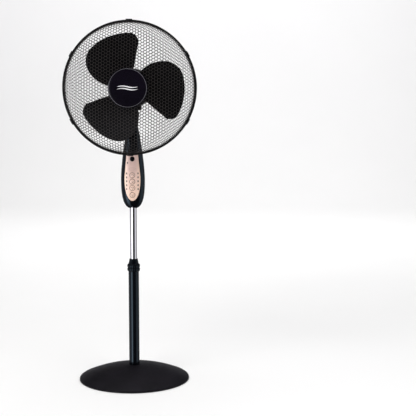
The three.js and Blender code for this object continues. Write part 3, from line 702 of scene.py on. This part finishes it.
def makeCap():
    radius = capHigh.x / mm
    front, back = capLow.y / mm, frontMeshBox[0].y / mm - 0.4
    centre = (0, 0, axisZ)
    groove, spigot = radius - cap["groove"], cap["spigot"]
    bore = spigot - cap["spigotWall"]
    face = turned("centerCap", [
        (0, front), (radius * 0.6, front + 0.04), (radius * 0.82, front + 0.16), (radius - 6, front + 0.5),
        (groove - 0.4, front + 0.9, 0.6), (groove, front + 1.9, 0.4), (groove + 0.4, front + 0.9, 0.6),
        (radius - 1.4, front + 0.8, 0.7), (radius, front + 2.2, 1.2), (radius, back, 0.6),
        (spigot, back, 0.3), (spigot, back + 8), (bore, back + 8), (bore, front + 4.5), (0, front + 3.2)],
        "Y", centre, 128)
    capBlack = mouldedBlack("capBlack", (0.0026, 0.0016, 0.0046), 0.16, 0.000004, 0.05, 0.4)
    settleOn(face, "head", "gloss_black", capBlack, "center_cap")
    # a thin dark-chromed ring laid in the groove round the face
    turns = [math.pi * i / 6 for i in range(12)]
    trim = [(groove + cap["trim"] * math.cos(a), front + 1.0 + cap["trim"] * math.sin(a)) for a in turns]
    ring = turned("capTrim", trim, "Y", centre, 128, True)
    settleOn(ring, "head", "chrome", polishedMetal("darkChrome", (0.2, 0.2, 0.215), 0.3, metallic=0.7))
    # a plain sign for moving air: two waves in silver
    silver = polishedMetal("silverMark", (0.86, 0.86, 0.87), 0.3, metallic=0.2)
    half, swing = cap["markWidth"] / 2, cap["markSwing"]
    waves = []
    for side in (-1, 1):
        def crest(t, rise=axisZ / mm + side * cap["markHeight"] / 4):
            return half * (2 * t - 1), rise + swing * math.sin(2 * math.pi * t)

        waves.append(ribbon("wave", crest, lambda t: cap["markStroke"] * math.sin(math.pi * t) ** 0.6 + 0.1,
                            lambda x, z: front + 0.02, 48, 0.4))
    mark = joined("capMark", waves)
    outward(mark, 0.0000001)
    settleOn(mark, "head", "chrome", silver)


makeGuards()
makeRims()
makeClips()
makeCap()
print("guards, rims, clips and cap are made")


# rotor
hubLow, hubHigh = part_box("fan_blade")
rotor = {
    "count": 3, "start": 79.5, "angle": 99.0, "tip": 0.1772, "hub": 0.042,
    "corner": 12.0, "cornerDrop": 0.023, "cornerPower": 2.4, "sweepFrom": 52.0, "sweepPower": 2.19,
    "span": 0.050, "tipSpan": 0.030, "camber": 0.005, "middle": hubLow.y + 0.036, "thickness": 0.0017,
    "across": 56, "along": 26, "hubDepth": 0.062, "bore": 4.3, "sleeve": 10.0, "ribs": 12,
}
bladeBlack = mouldedBlack("bladeBlack", (0.0024, 0.0024, 0.0029), 0.32, 0.000012, 0.08, 0.09)


def bladeReach(angle):
    # the outer edge: a rounded corner, an arc, then a tail swept back to the hub
    tip = rotor["tip"]
    if angle < rotor["corner"]:
        return tip - rotor["cornerDrop"] * (1 - angle / rotor["corner"]) ** rotor["cornerPower"]
    if angle < rotor["sweepFrom"]:
        return tip
    part = (angle - rotor["sweepFrom"]) / (rotor["angle"] - rotor["sweepFrom"])
    return tip - (tip - rotor["hub"]) * part ** rotor["sweepPower"]


def makeBlade(name):
    # a fine grid is bent round the hub, given its pitch and camber, then thickened
    bpy.ops.object.select_all(action="DESELECT")
    bpy.ops.mesh.primitive_grid_add(x_subdivisions=rotor["across"], y_subdivisions=rotor["along"], size=2)
    blade = named(name)
    root = rotor["hub"] - 0.0012
    for vertex in blade.data.vertices:
        part = (vertex.co.x + 1) / 2
        part -= 0.12 / math.pi * math.sin(2 * math.pi * part)  # closer rows at both ends
        angle = rotor["angle"] * 0.985 * part  # stops where the tail still has some width
        radius = root + (bladeReach(angle) - root) * (vertex.co.y + 1) / 2
        span = rotor["span"] + rotor["tipSpan"] * (radius - rotor["hub"]) / (rotor["tip"] - rotor["hub"])
        share = angle / rotor["angle"]
        y = rotor["middle"] + span * (0.5 - share) + rotor["camber"] * math.sin(math.pi * share)
        theta = math.radians(rotor["start"] + angle)
        vertex.co = (radius * math.cos(theta), y, axisZ + radius * math.sin(theta))
    modify(blade, "SOLIDIFY", thickness=rotor["thickness"], offset=0)
    outward(blade, 0.00003)
    ease(blade, 0.0006, 2, 60)
    smooth(blade, 40)
    return blade


def makeRotor():
    centre = (0, 0, axisZ)
    front, back = hubLow.y / mm, (hubLow.y + rotor["hubDepth"]) / mm
    radius, bore, sleeve = rotor["hub"] / mm, rotor["bore"], rotor["sleeve"]
    inner = radius - 3
    hub = turned("hub", [
        (bore, front), (radius - 3.5, front, 2.5), (radius, front + 4.5, 2.0), (radius, back, 0.8),
        (inner, back), (inner, front + 5), (sleeve, front + 5), (sleeve, back - 20, 0.6), (bore, back - 20)],
        "Y", centre, 96, True)
    blades = [makeBlade("blade")]
    for i in range(1, rotor["count"]):
        blades.append(copyOf(blades[0], f"blade{i}", aboutAxis(-i * 2 * math.pi / rotor["count"])))
    ribs = []
    for i in range(rotor["ribs"]):  # stiffening ribs inside the hub
        rib = cube("hubRib", (0.0245, hubLow.y + 0.02, axisZ), (0.0292, 0.030, 0.0013))
        rib.data.transform(aboutAxis(i * 2 * math.pi / rotor["ribs"] + 0.1))
        ribs.append(rib)
    whole = joined("fanBlade", [hub] + blades + ribs)
    settleOn(whole, "rotor", "gloss_black", bladeBlack, "fan_blade")
    low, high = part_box("spinner_nut")
    tip, back = low.y / mm, high.y / mm
    nut = turned("spinnerNut", [
        (0, tip), (6, tip + 0.4), (9.5, tip + 3, 2), (12.4, tip + 7, 1.5), (12.9, back, 0.5), (bore, back),
        (bore, tip + 6), (0, tip + 5)], "Y", centre, 64)
    scallop(nut, 0.0085, lambda turn: 0.09 * (0.5 - 0.5 * math.cos(turn * 8)))
    settleOn(nut, "rotor", "satin_black", satinBlack, "spinner_nut")


# motor, tilt and swivel
motor = {
    "sides": 128, "wall": 2.2, "slots": 28, "slotWidth": 0.0026, "slotLength": 0.020, "slotDepth": 0.012,
    "slotRing": 0.0645, "roundWidth": 34.0, "roundDepth": 28.0, "ventRadius": 0.0019,
    "vents": ((10, 6), (18, 12), (26, 18)),  # radius of each ring, and how many
}


def makeMotor():
    low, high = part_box("motor_front_housing")
    centre = (0, 0, axisZ)
    radius = high.x / mm
    noseRadius = abs(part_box("guard_nut")[0].x / mm) - 13
    y0, y1 = low.y / mm, high.y / mm
    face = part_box("rear_guard")[1].y / mm + 0.6
    inner, floorY, cup, bearing = radius - motor["wall"], face + 3, 14, 11.3
    front = turned("motorFrontHousing", [
        (6, y0), (noseRadius, y0, 0.8), (noseRadius, face, 0.5), (radius - 6, face, 3.5),
        (radius, face + 7, 3.5), (radius, y1 - 3.2, 0.3), (radius - 0.7, y1 - 2.9, 0.3), (radius - 0.7, y1),
        (inner, y1), (inner, face + 8), (radius - 7, floorY), (cup, floorY), (cup, face + 12),
        (bearing, face + 12), (bearing, floorY), (6, floorY)], "Y", centre, motor["sides"], True)
    # cooling slots round the shell
    bars = []
    slotY = (face + y1) / 2 * mm + 0.002
    for i in range(motor["slots"]):
        turn = 2 * math.pi * (i + 0.5) / motor["slots"]
        if abs(math.cos(turn - math.pi * 1.5) - 1) < 0.16:
            continue  # the saddle covers the underside
        bar = cube("slot", (0, slotY, 0), (motor["slotDepth"], motor["slotLength"], motor["slotWidth"]))
        x, z = math.cos(turn) * motor["slotRing"], math.sin(turn) * motor["slotRing"]
        bar.data.transform(Matrix.Translation((x, 0, axisZ + z)) @ Matrix.Rotation(-turn, 4, "Y"))
        bars.append(bar)
    carve(front, joined("slots", bars))
    smooth(front)
    settleOn(front, "head", "satin_black", satinBlack, "motor_front_housing")

    low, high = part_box("motor_rear_housing")
    y0, y1 = low.y / mm, high.y / mm
    radius = high.x / mm
    width, depth, wall = motor["roundWidth"], motor["roundDepth"], motor["wall"]
    turns = [quarter * i / 14 for i in range(15)]
    shoulder = [(radius - width * (1 - math.cos(a)), y1 - depth + depth * math.sin(a)) for a in turns]
    inner = [(r - 2.0, y - 2.0) for r, y in reversed(shoulder)]
    rear = turned("motorRearHousing", [
        (radius - wall, y0), (radius, y0, 0.3), *shoulder,
        (0, y1), (0, y1 - wall), *inner, (radius - wall, y0 + 1)], "Y", centre, motor["sides"])
    bars = []
    for ring, count in motor["vents"]:  # rings of round holes in the back
        for i in range(count):
            turn = 2 * math.pi * i / count
            bpy.ops.mesh.primitive_cylinder_add(vertices=16, radius=motor["ventRadius"], depth=0.02,
                                                location=(0, y1 * mm, 0), rotation=(quarter, 0, 0))
            bar = named("vent")
            settle(bar)
            x, z = ring * mm * math.cos(turn), ring * mm * math.sin(turn)
            bar.data.transform(Matrix.Translation((x, 0, axisZ + z)))
            bars.append(bar)
    carve(rear, joined("vents", bars))
    smooth(rear)
    settleOn(rear, "head", "satin_black", satinBlack, "motor_rear_housing")

    low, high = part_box("guard_nut")
    radius = high.x / mm
    nut = turned("guardNut", [
        (noseRadius + 0.3, high.y / mm), (radius, high.y / mm, 0.5), (radius, low.y / mm + 3, 1.2),
        (radius - 6, low.y / mm, 1.0), (noseRadius + 0.3, low.y / mm)], "Y", centre, 96, True)
    scallop(nut, (radius - 3) * mm, lambda turn: 0.05 * max(0.0, math.cos(turn * 10)) ** 3)
    settleOn(nut, "head", "satin_black", satinBlack, "guard_nut")


def softCopy(node, name, width, segments=3, angle=30):
    # a CAD shape whose edges get their real radius
    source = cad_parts[node]
    piece = copyOf(source, name)
    piece.parent = None
    for key in [k for k in piece.keys() if k.startswith("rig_")]:
        del piece[key]
    only(piece)
    toEdit()
    bpy.ops.mesh.select_all(action="SELECT")
    bpy.ops.mesh.remove_doubles(threshold=0.00002)
    bpy.ops.mesh.dissolve_limited(angle_limit=math.radians(3))
    toObject()
    ease(piece, width, segments, angle)
    smooth(piece)
    return piece


def makeTilt():
    for node, name, width, body in (("tilt_lug", "tiltLug", 0.0012, "head"),
                                    ("swivel_bracket", "swivelBracket", 0.0010, "swivel"),
                                    ("tilt_knob", "tiltKnob", 0.0008, "tilt_knob")):
        piece = softCopy(node, name, width)
        settleOn(piece, body, "satin_black", satinBlack, node)


makeRotor()
makeMotor()
makeTilt()
print("rotor, motor and tilt are made")


# control housing
frontShellLow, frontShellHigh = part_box("control_front_shell")
rearShellLow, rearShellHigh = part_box("control_rear_shell")
panelLow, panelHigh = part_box("control_panel")
housing = {
    "bottom": frontShellLow.z / mm, "wide": 686.0, "top": frontShellHigh.z / mm,
    "halfWidth": frontShellHigh.x / mm, "halfDepth": rearShellHigh.y / mm, "neckWidth": 18.5,
    "neckDepth": 18.0, "round": 2.8, "taper": 1.5, "oval": 2.3, "wall": 2.2, "around": 112, "levels": 60,
    "tubeHole": 11.8, "tubeEntry": 30.0, "neckHole": 12.2, "seam": 0.15, "edge": 0.0007,
}
panel = {
    "bottom": panelLow.z / mm, "wide": 692.0, "top": panelHigh.z / mm, "halfWidth": panelHigh.x / mm,
    "topHalfWidth": 19.0, "lean": 0.8, "corner": 3.0, "proud": 0.8, "clear": 0.3, "edge": 0.0005,
    "cutBack": -9.0, "holeBack": -5.0,
    "ringStep": 4.2, "ringFirst": 12.4, "ringCount": 4, "ringSpan": 84,
}


def sectionAt(z, grow):
    # half width and half depth of the housing at a height, in millimetres
    wide, low = housing["wide"], housing["bottom"] - grow
    if z < wide:
        share = min(1.0, (wide - z) / (wide - low))
        full = (1 - share ** housing["round"]) ** (1 / housing["round"])
        return (housing["halfWidth"] + grow) * full, (housing["halfDepth"] + grow) * full
    part = ((z - wide) / (housing["top"] - wide)) ** housing["taper"]
    return (housing["halfWidth"] + grow - (housing["halfWidth"] - housing["neckWidth"]) * part,
            housing["halfDepth"] + grow - (housing["halfDepth"] - housing["neckDepth"]) * part)


def frontDepth(x, z, grow):
    # how far the housing's face stands forward of the pole axis at a spot
    width, depth = sectionAt(z, grow)
    return depth * max(0.0, 1 - (abs(x) / width) ** housing["oval"]) ** (1 / housing["oval"])


def housingLoft(name, grow, top):
    # a grid rolled into the oval shape: round bottom, open top that is then closed
    bpy.ops.object.select_all(action="DESELECT")
    around, levels = housing["around"], housing["levels"]
    bpy.ops.mesh.primitive_grid_add(x_subdivisions=around, y_subdivisions=levels, size=2)
    loft = named(name)
    low, wide = housing["bottom"] - grow, housing["wide"]
    power = 2 / housing["oval"]
    for vertex in loft.data.vertices:
        turn = math.pi * (vertex.co.x + 1)
        if vertex.co.y < 0:
            z = low + (wide - low) * (1 - math.cos((vertex.co.y + 1) * quarter))
        else:
            z = wide + (top - wide) * vertex.co.y
        width, depth = sectionAt(z, grow)
        c, s = math.cos(turn), math.sin(turn)
        x, y = width * math.copysign(abs(c) ** power, c), depth * math.copysign(abs(s) ** power, s)
        vertex.co = (x * mm, y * mm, z * mm)

    def atTop(edge):
        return all(loft.data.vertices[i].co.z > (top - 0.01) * mm for i in edge.vertices)

    pick(loft, "EDGE", atTop)
    bpy.ops.mesh.remove_doubles(threshold=0.000001)
    bpy.ops.mesh.edge_face_add()
    toObject()
    outward(loft, 0.000002)
    return loft


def block(name, low, high):
    low, high = Vector(low) * mm, Vector(high) * mm
    return cube(name, (low + high) / 2, high - low)


def rod(name, radius, start, end, axis="Y", sides=64):
    # start and end are places in millimetres on a line along the axis
    bpy.ops.object.select_all(action="DESELECT")
    start, end = Vector(start) * mm, Vector(end) * mm
    turn = {"X": (0, quarter, 0), "Y": (quarter, 0, 0), "Z": (0, 0, 0)}[axis]
    bpy.ops.mesh.primitive_cylinder_add(vertices=sides, radius=radius * mm, depth=(end - start).length,
                                        location=(start + end) / 2, rotation=turn)
    piece = named(name)
    settle(piece)
    return piece


def panelOutline(grow):
    # an oval foot, flanks that lean in, and a flat top with small round corners
    steps = 44
    points = []
    for i in range(steps + 1):
        turn = math.pi * (1 + i / steps)
        c, s = math.cos(turn), math.sin(turn)
        reach = panel["wide"] - panel["bottom"] + grow
        points.append(((panel["halfWidth"] + grow) * c, panel["wide"] - reach * abs(s) ** panel["lean"]))
    side, top = panel["topHalfWidth"] + grow, panel["top"] + grow
    corner = panel["corner"]
    return points + rounded([points[-1], (side, top, corner), (-side, top, corner), points[0]])[1:-1]


def prism(name, outline, front, back):
    # an outline in x and z, filled and pulled from front to back
    spots = [Vector((x * mm, front * mm, z * mm)) for x, z in outline]
    piece = startAt(name, spots[0])
    for before, after in zip(spots, spots[1:] + spots[:1]):
        bpy.ops.mesh.extrude_region_move(TRANSFORM_OT_translate={"value": after - before})
    bpy.ops.mesh.select_all(action="SELECT")
    bpy.ops.mesh.remove_doubles(threshold=0.000001)
    bpy.ops.mesh.edge_face_add()
    bpy.ops.mesh.extrude_region_move(TRANSFORM_OT_translate={"value": (0, (back - front) * mm, 0)})
    toObject()
    outward(piece, 0.000001)
    return piece


screw = {"z": 720.0, "head": 3.4, "shank": 1.7, "seat": 13.0}
screw["x"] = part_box("shell_screw_2")[0].x / mm + screw["head"]
cordGland = {"bore": 2.6, "radius": 4.2, "collar": 26.7}


def makeShells():
    bottom, top, wall, seam = housing["bottom"], housing["top"], housing["wall"], housing["seam"]
    far = housing["halfWidth"] * 2
    entry, past = bottom + housing["tubeEntry"], 9  # cutting tools reach past the shells
    whole = housingLoft("controlFrontShell", 0, top)
    carve(whole, housingLoft("hollow", -wall, top - wall))
    carve(whole, rod("bore", housing["tubeHole"], (0, 0, bottom - 5), (0, 0, entry), "Z"))
    carve(whole, rod("bore", housing["neckHole"], (0, 0, top - 10), (0, 0, top + 5), "Z"))
    rear = copyOf(whole, "controlRearShell")
    # front half, with the opening for the panel
    carve(whole, block("half", (-far, -seam, bottom - past), (far, far, top + past)))
    carve(whole, prism("opening", panelOutline(panel["clear"]), -far, panel["cutBack"]))
    # rear half, with screw wells and the hole for the cord's gland
    carve(rear, block("half", (-far, -far, bottom - past), (far, seam, top + past)))
    wells = [rod("well", screw["head"] + 0.4, (x, screw["seat"], screw["z"]), (x, far, screw["z"]))
             for x in (-screw["x"], screw["x"])]
    glandZ = (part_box("cable_gland")[0].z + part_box("cable_gland")[1].z) / 2 / mm
    wells.append(rod("well", cordGland["radius"] + 0.3, (0, 5, glandZ), (0, far, glandZ)))
    carve(rear, joined("wells", wells))
    for piece, node in ((whole, "control_front_shell"), (rear, "control_rear_shell")):
        ease(piece, housing["edge"], 3, 48)
        smooth(piece, 40)
        settleOn(piece, "mast", "gloss_black", glossBlack, node)
    # tubes that the screws sit in, behind the wells
    outer, inner, seat = screw["head"] + 2, screw["shank"] + 0.3, screw["seat"]
    profile = [(outer, seat - 10), (outer, seat + 3.5), (inner, seat), (inner, seat - 10)]
    posts = [turned("screwPost", profile, "Y", (x * mm, 0, screw["z"] * mm), 32, True)
             for x in (-screw["x"], screw["x"])]
    settleOn(joined("screwPosts", posts), "mast", "gloss_black", satinBlack)


buttons = {"radius": 8.0, "flange": 9.0, "dome": 1.5, "stem": 2.0, "outline": 1.2, "proud": 1.6}
buttonNames = ("swing", "timer", "speed", "power")


def middleOf(node):
    low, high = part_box(node)
    return (low + high) / 2


# lacquer tones: the peach tone is the colour of the painted reflection on the flanks and the foot
lacquer = {"rose": (0.72, 0.52, 0.47), "peachReflection": (0.87, 0.63, 0.49), "cloud": (0.78, 0.56, 0.49)}

def champagneFinish(name, rough, glow):
    # metallic rose-gold lacquer, pinker in the middle; a painted reflection turns it peach towards the flanks
    # and the foot, where the curved face would reflect the bright room. glow scales the whole tint: a copy
    # above 1 is a painted highlight, below 1 painted shade
    finish = Finish(name, Coat_Roughness=0.12, Coat_Weight=0.2)
    across = finish.node("SeparateXYZ", None, {0: finish.coords()}, output=0)
    up = finish.node("SeparateXYZ", None, {0: finish.coords()}, output=2)
    # masks for the painted reflection: the panel's flanks and its foot
    side = finish.ramp(across * across, 0.0001, 0.0006)
    foot = finish.ramp(up, 0.735, 0.625)
    paintedReflection = finish.node("Math", {"operation": "MAXIMUM"}, {0: side, 1: foot})
    tone = finish.mix(paintedReflection, tint(lacquer["rose"], glow), tint(lacquer["peachReflection"], glow))
    cloud = finish.ramp(finish.noise(0.03, 3), 0.3, 0.7)
    finish.feed("Base Color", finish.mix(cloud * 0.3, tone, tint(lacquer["cloud"], glow)))
    flake = finish.noise(0.0005, 1)
    finish.feed("Metallic", finish.ramp(flake, 0.35, 0.65, 0.05, 0.25))
    finish.feed("Roughness", finish.ramp(cloud, 0, 1, rough * 0.85, rough * 1.2))
    finish.bump(flake, 0.0000035)
    return finish.material


def smokedFinish():
    # dark tinted light guide, a little clearer in its core
    finish = Finish("smokedLight", Coat_Weight=0.4)
    core = finish.ramp(finish.noise(0.002, 2), 0.3, 0.7)
    finish.feed("Base Color", finish.mix(core, (0.02, 0.015, 0.013, 1), (0.06, 0.045, 0.04, 1)))
    finish.feed("Roughness", finish.ramp(core, 0, 1, 0.22, 0.38))
    finish.bump(core, 0.00001)
    return finish.material


def arc(radius, start, end, x=0.0, z=0.0):
    def path(t):
        turn = math.radians(start + (end - start) * t)
        return x + radius * math.cos(turn), z + radius * math.sin(turn)
    return path


def line(x0, z0, x1, z1):
    return lambda t: (x0 + (x1 - x0) * t, z0 + (z1 - z0) * t)


def icons():
    # generic signs, each a list of a path and its widths at both ends, round the button's middle
    swing = [(arc(4.6, 40, 140, 0, -1.8), 1.0, 1.0), (line(3.1, 1.6, 5.2, -1.6), 3.0, 0.1),
             (line(-3.1, 1.6, -5.2, -1.6), 3.0, 0.1)]
    # the timer's two lower arcs make a dark bow: painted shade for the lower half of its domed button; the
    # short line is its hand
    timer = [(arc(4.3, 195, 345, 0, 1.4), 0.9, 0.9), (arc(4.6, 200, 340, 0, 2.0), 1.5, 1.5),
             (line(0, 0.2, 0, 3), 0.7, 0.7)]
    speed = [(arc(3.4, start, start + 95), 0.5, 2.8) for start in (200, 320, 80)]
    power = [(arc(4.9, 128, 412), 0.9, 0.9), (line(0, -1.6, 0, 2.0), 3.0, 0.4)]
    return {"swing": swing, "timer": timer, "speed": speed, "power": power}


def makePanel():
    top, far, proud = housing["top"], housing["halfWidth"] * 2, panel["proud"]
    plate = housingLoft("controlPanel", proud, top)
    carve(plate, housingLoft("hollow", proud - housing["wall"], top - housing["wall"]))
    carve(plate, prism("outline", panelOutline(0), -far, panel["cutBack"]), "INTERSECT")
    holes = []
    for name in buttonNames:
        z = middleOf(name + "_button").z / mm
        holes.append(rod("hole", buttons["radius"] + 0.4, (0, -far, z), (0, panel["holeBack"], z)))
    lens = middleOf("ir_window").z / mm
    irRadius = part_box("ir_window")[1].x / mm
    holes.append(rod("hole", irRadius + 0.3, (0, -far, lens), (0, panel["holeBack"], lens)))
    carve(plate, joined("holes", holes))
    low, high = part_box("standby_light")
    clear, half = lights["clear"], lights["halfHeight"] + lights["clear"]
    spans = [(low, high, low.z / mm - clear, high.z / mm + clear)]
    for side in ("left", "right"):
        low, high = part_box(side + "_light_guide")
        for i in range(lights["count"]):
            z = lights["top"] - i * lights["pitch"]
            spans.append((low, high, z - half, z + half))
    windows = [block("window", (low.x / mm - clear, -far, z0), (high.x / mm + clear, panel["holeBack"], z1))
               for low, high, z0, z1 in spans]
    carve(plate, joined("windows", windows))
    ease(plate, panel["edge"], 3, 48)
    smooth(plate, 40)
    settleOn(plate, "mast", "champagne", champagne, "control_panel")
    # raised rings that spread upwards from the top button, in a darker copy of the lacquer: painted shade
    # along the rings
    centre = middleOf("swing_button").z / mm
    rings = []
    for i in range(panel["ringCount"]):
        radius = panel["ringFirst"] + panel["ringStep"] * i
        half = panel["ringSpan"] / 2
        rings.append(ribbon("ring", arc(radius, 90 - half, 90 + half, 0, centre),
                            lambda t: 1.1 * math.sqrt(max(0.0, 1 - (2 * t - 1) ** 4)) + 0.05,
                            lambda x, z: -frontDepth(x, z, proud), 40, 0.36))
    whole = joined("panelRings", rings)
    smooth(whole)
    settleOn(whole, "mast", "champagne", champagnePaintedShade)
    # a dark ring laid on the panel round each button: painted shade for the gap round the button
    gapShades = []
    for name in buttonNames:
        z = middleOf(name + "_button").z / mm
        circle = arc(buttons["radius"] + buttons["outline"] * 0.7, 0, 360, 0, z)
        gapShades.append(ribbon("outline", circle, lambda t: buttons["outline"],
                               lambda x, z: -frontDepth(x, z, proud), 64, 0.1))
    whole = joined("buttonGapShade", gapShades)
    smooth(whole)
    settleOn(whole, "mast", "champagne", signAndShadePaint)


def makeButtons():
    signs = icons()
    for name in buttonNames:
        low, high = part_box(name + "_button")
        z = (low.z + high.z) / 2
        front, back = low.y / mm, high.y / mm
        flange = front + buttons["proud"] + housing["wall"] + 2
        radius, dome, collar, stem = (buttons[key] for key in ("radius", "dome", "flange", "stem"))
        button = turned(name + "Button", [
            (0, front), (radius * 0.3, front + dome * 0.06), (radius * 0.55, front + dome * 0.24),
            (radius * 0.75, front + dome * 0.55), (radius * 0.9, front + dome),
            (radius, front + dome + 0.6, 0.4), (radius, flange), (collar, flange), (collar, flange + 1.2),
            (stem, flange + 1.2), (stem, back), (0, back)], "Y", (0, 0, z), 72)
        settleOn(button, f"{name}_button", "champagne", champagnePaintedHighlight, name + "_button")

        def face(x, height, front=front, z=z):
            far = math.hypot(x, height - z / mm) / buttons["radius"]
            return front + buttons["dome"] * 0.95 * far ** 2.2 - 0.02

        marks = []
        for path, first, last in signs[name]:
            shifted = (lambda t, path=path: (path(t)[0], path(t)[1] + z / mm))
            marks.append(ribbon("mark", shifted, lambda t, a=first, b=last: a + (b - a) * t, face, 18, 0.16))
        sign = joined(name + "Sign", marks)
        smooth(sign)
        settleOn(sign, f"{name}_button", "champagne", signAndShadePaint)


lights = {"count": 5, "top": 704.0, "pitch": 13.1, "halfHeight": 2.5, "clear": 0.4}


def makeLights():
    smoked = smokedFinish()
    for node, name in (("left_light_guide", "leftLightGuide"), ("right_light_guide", "rightLightGuide"),
                       ("standby_light", "standbyLight")):
        piece = softCopy(node, name, 0.0004, 2, 50)
        settleOn(piece, "mast", "light", smoked, node)
    low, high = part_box("ir_window")
    radius, front, back = high.x / mm, low.y / mm, high.y / mm
    lens = turned("irWindow", [
        (0, front), (radius * 0.5, front + 0.15), (radius * 0.8, front + 0.45),
        (radius - 0.5, front + 0.8, 0.4), (radius, front + 1.4, 0.3), (radius, back), (0, back)],
        "Y", (0, 0, (low.z + high.z) / 2), 72)
    settleOn(lens, "mast", "gloss_black", lensBlack, "ir_window")


def makeFittings():
    for i, x in enumerate((-screw["x"], screw["x"])):
        low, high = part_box(f"shell_screw_{i + 1}")
        seat, top = screw["seat"] + 0.3, high.y / mm
        tip, radius, shank = low.y / mm, screw["head"], screw["shank"]
        head = turned(f"shellScrew{i + 1}", [
            (0, top), (radius * 0.6, top - 0.2), (radius, top - 1.2, 0.5), (radius, seat), (shank, seat),
            (shank, tip + 1.5), (0, tip)], "Y", (x * mm, 0, screw["z"] * mm), 40)
        cross = [block("cross", (x - a, top - 1.6, screw["z"] - b), (x + a, top + 1, screw["z"] + b))
                 for a, b in ((1.9, 0.35), (0.35, 1.9))]
        for bar in cross:
            carve(head, bar)
        smooth(head)
        settleOn(head, "mast", "steel", bareSteel, f"shell_screw_{i + 1}")
    low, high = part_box("cable_gland")
    radius, front, back = high.x / mm, low.y / mm, high.y / mm
    bore, neck, collar = (cordGland[key] for key in ("bore", "radius", "collar"))
    ribs = [(radius - (0.9 if i % 2 else 0), back - 0.4 - i * 0.55) for i in range(4)]
    gland = turned("cableGland", [
        (bore, back), *ribs, (radius, collar), (neck, collar), (neck, front), (bore, front)],
        "Y", (0, 0, (low.z + high.z) / 2), 56, True)
    settleOn(gland, "mast", "rubber", rubber, "cable_gland")


champagne = champagneFinish("champagne", 0.32, 1.0)
# a brighter copy of the lacquer for the buttons: painted highlight
champagnePaintedHighlight = champagneFinish("champagnePaintedHighlight", 0.2, 1.08)
# dark paint for the printed signs, also used for the painted shade round the buttons and in the timer's bow
signAndShadePaint = mouldedBlack("signAndShadePaint", (0.035, 0.024, 0.02), 0.4, 0.000004)
# a darker copy of the lacquer for the raised rings: painted shade
champagnePaintedShade = champagneFinish("champagnePaintedShade", 0.3, 0.72)
lensBlack = mouldedBlack("lensBlack", (0.0015, 0.0015, 0.0025), 0.04, 0.000001, 0.03)
rubber = mouldedBlack("rubber", (0.014, 0.013, 0.013), 0.7, 0.00004, 0.1, 0.3, 0.4)
makeShells()
print("housing shells are made")
makePanel()
makeButtons()
makeLights()
makeFittings()
print("panel, buttons, lights and fittings are made")


# inner parts that keep their plain shape
def sheetMetal(name, tone, rough, grain, metallic=1.0, size=0.006):
    finish = Finish(name, Metallic=metallic)
    spangle = finish.node("TexVoronoi", None, {"Vector": finish.coords(), "Scale": 1 / size})
    soft = finish.noise(size * 3, 4)
    finish.feed("Base Color", finish.mix(finish.ramp(spangle * 0.5 + soft * 0.5, 0.2, 0.6),
                                         tint(tone, 0.75), tint(tone)))
    finish.feed("Roughness", finish.ramp(soft, 0.3, 0.7, rough * 0.8, rough * 1.2))
    finish.bump(spangle, grain)
    return finish.material


def stackedSheets():
    # thin steel sheets stacked along y, with copper turns where the coils bulge out
    finish = Finish("statorCoils", Metallic=1.0, Roughness=0.35)
    wires = finish.node("TexWave", {"bands_direction": "Y"},
                        {"Vector": finish.coords(), "Scale": 320.0, "Distortion": 0.4})
    steel = finish.mix(wires, (0.22, 0.22, 0.23, 1), (0.42, 0.42, 0.43, 1))
    coils = finish.ramp(finish.noise(0.012, 2), 0.48, 0.52)
    finish.feed("Base Color", finish.mix(coils, (0.62, 0.25, 0.1, 1), steel))
    finish.bump(wires, 0.0001)
    return finish.material


def circuitBoard():
    finish = Finish("circuitBoard", Coat_Weight=0.5)
    cells = finish.node("TexVoronoi", {"distance": "MANHATTAN", "feature": "F1"},
                        {"Vector": finish.coords(), "Scale": 260.0})
    tracks = finish.ramp(cells, 0.28, 0.3)
    finish.feed("Base Color", finish.mix(tracks, (0.02, 0.11, 0.04, 1), (0.03, 0.19, 0.07, 1)))
    finish.feed("Roughness", finish.ramp(tracks, 0, 1, 0.3, 0.45))
    finish.bump(tracks, 0.00003)
    return finish.material


def makeInner():
    castIron = sheetMetal("castIron", (0.12, 0.118, 0.115), 0.7, 0.0003, 0.6, 0.004)
    zinc = sheetMetal("zincSheet", (0.45, 0.46, 0.47), 0.42, 0.00001, 1.0, 0.007)
    nylon = mouldedBlack("nylon", (0.42, 0.41, 0.38), 0.45, 0.00001)
    cadFinish(["base_weight"], castIron)
    cadFinish(["base_plate", "pole_socket", "swing_motor", "rotor_core"], zinc)
    cadFinish(["tube_collet", "guide_bush", "swivel_post", "swivel_bush", "pole_plug"], nylon)
    cadFinish(["base_bolt", "front_bearing", "rear_bearing", "motor_shaft"], bareSteel)
    cadFinish(["stator"], stackedSheets())
    cadFinish(["control_board"], circuitBoard())
    for i in range(1, 5):
        foot = softCopy(f"foot_{i}", f"foot{i}", 0.0008)
        settleOn(foot, "stand", "rubber", rubber, f"foot_{i}")
    bolt = softCopy("tilt_bolt", "tiltBolt", 0.0004, 2, 40)
    settleOn(bolt, "swivel", "steel", bareSteel, "tilt_bolt")


makeInner()
print("inner parts are finished")
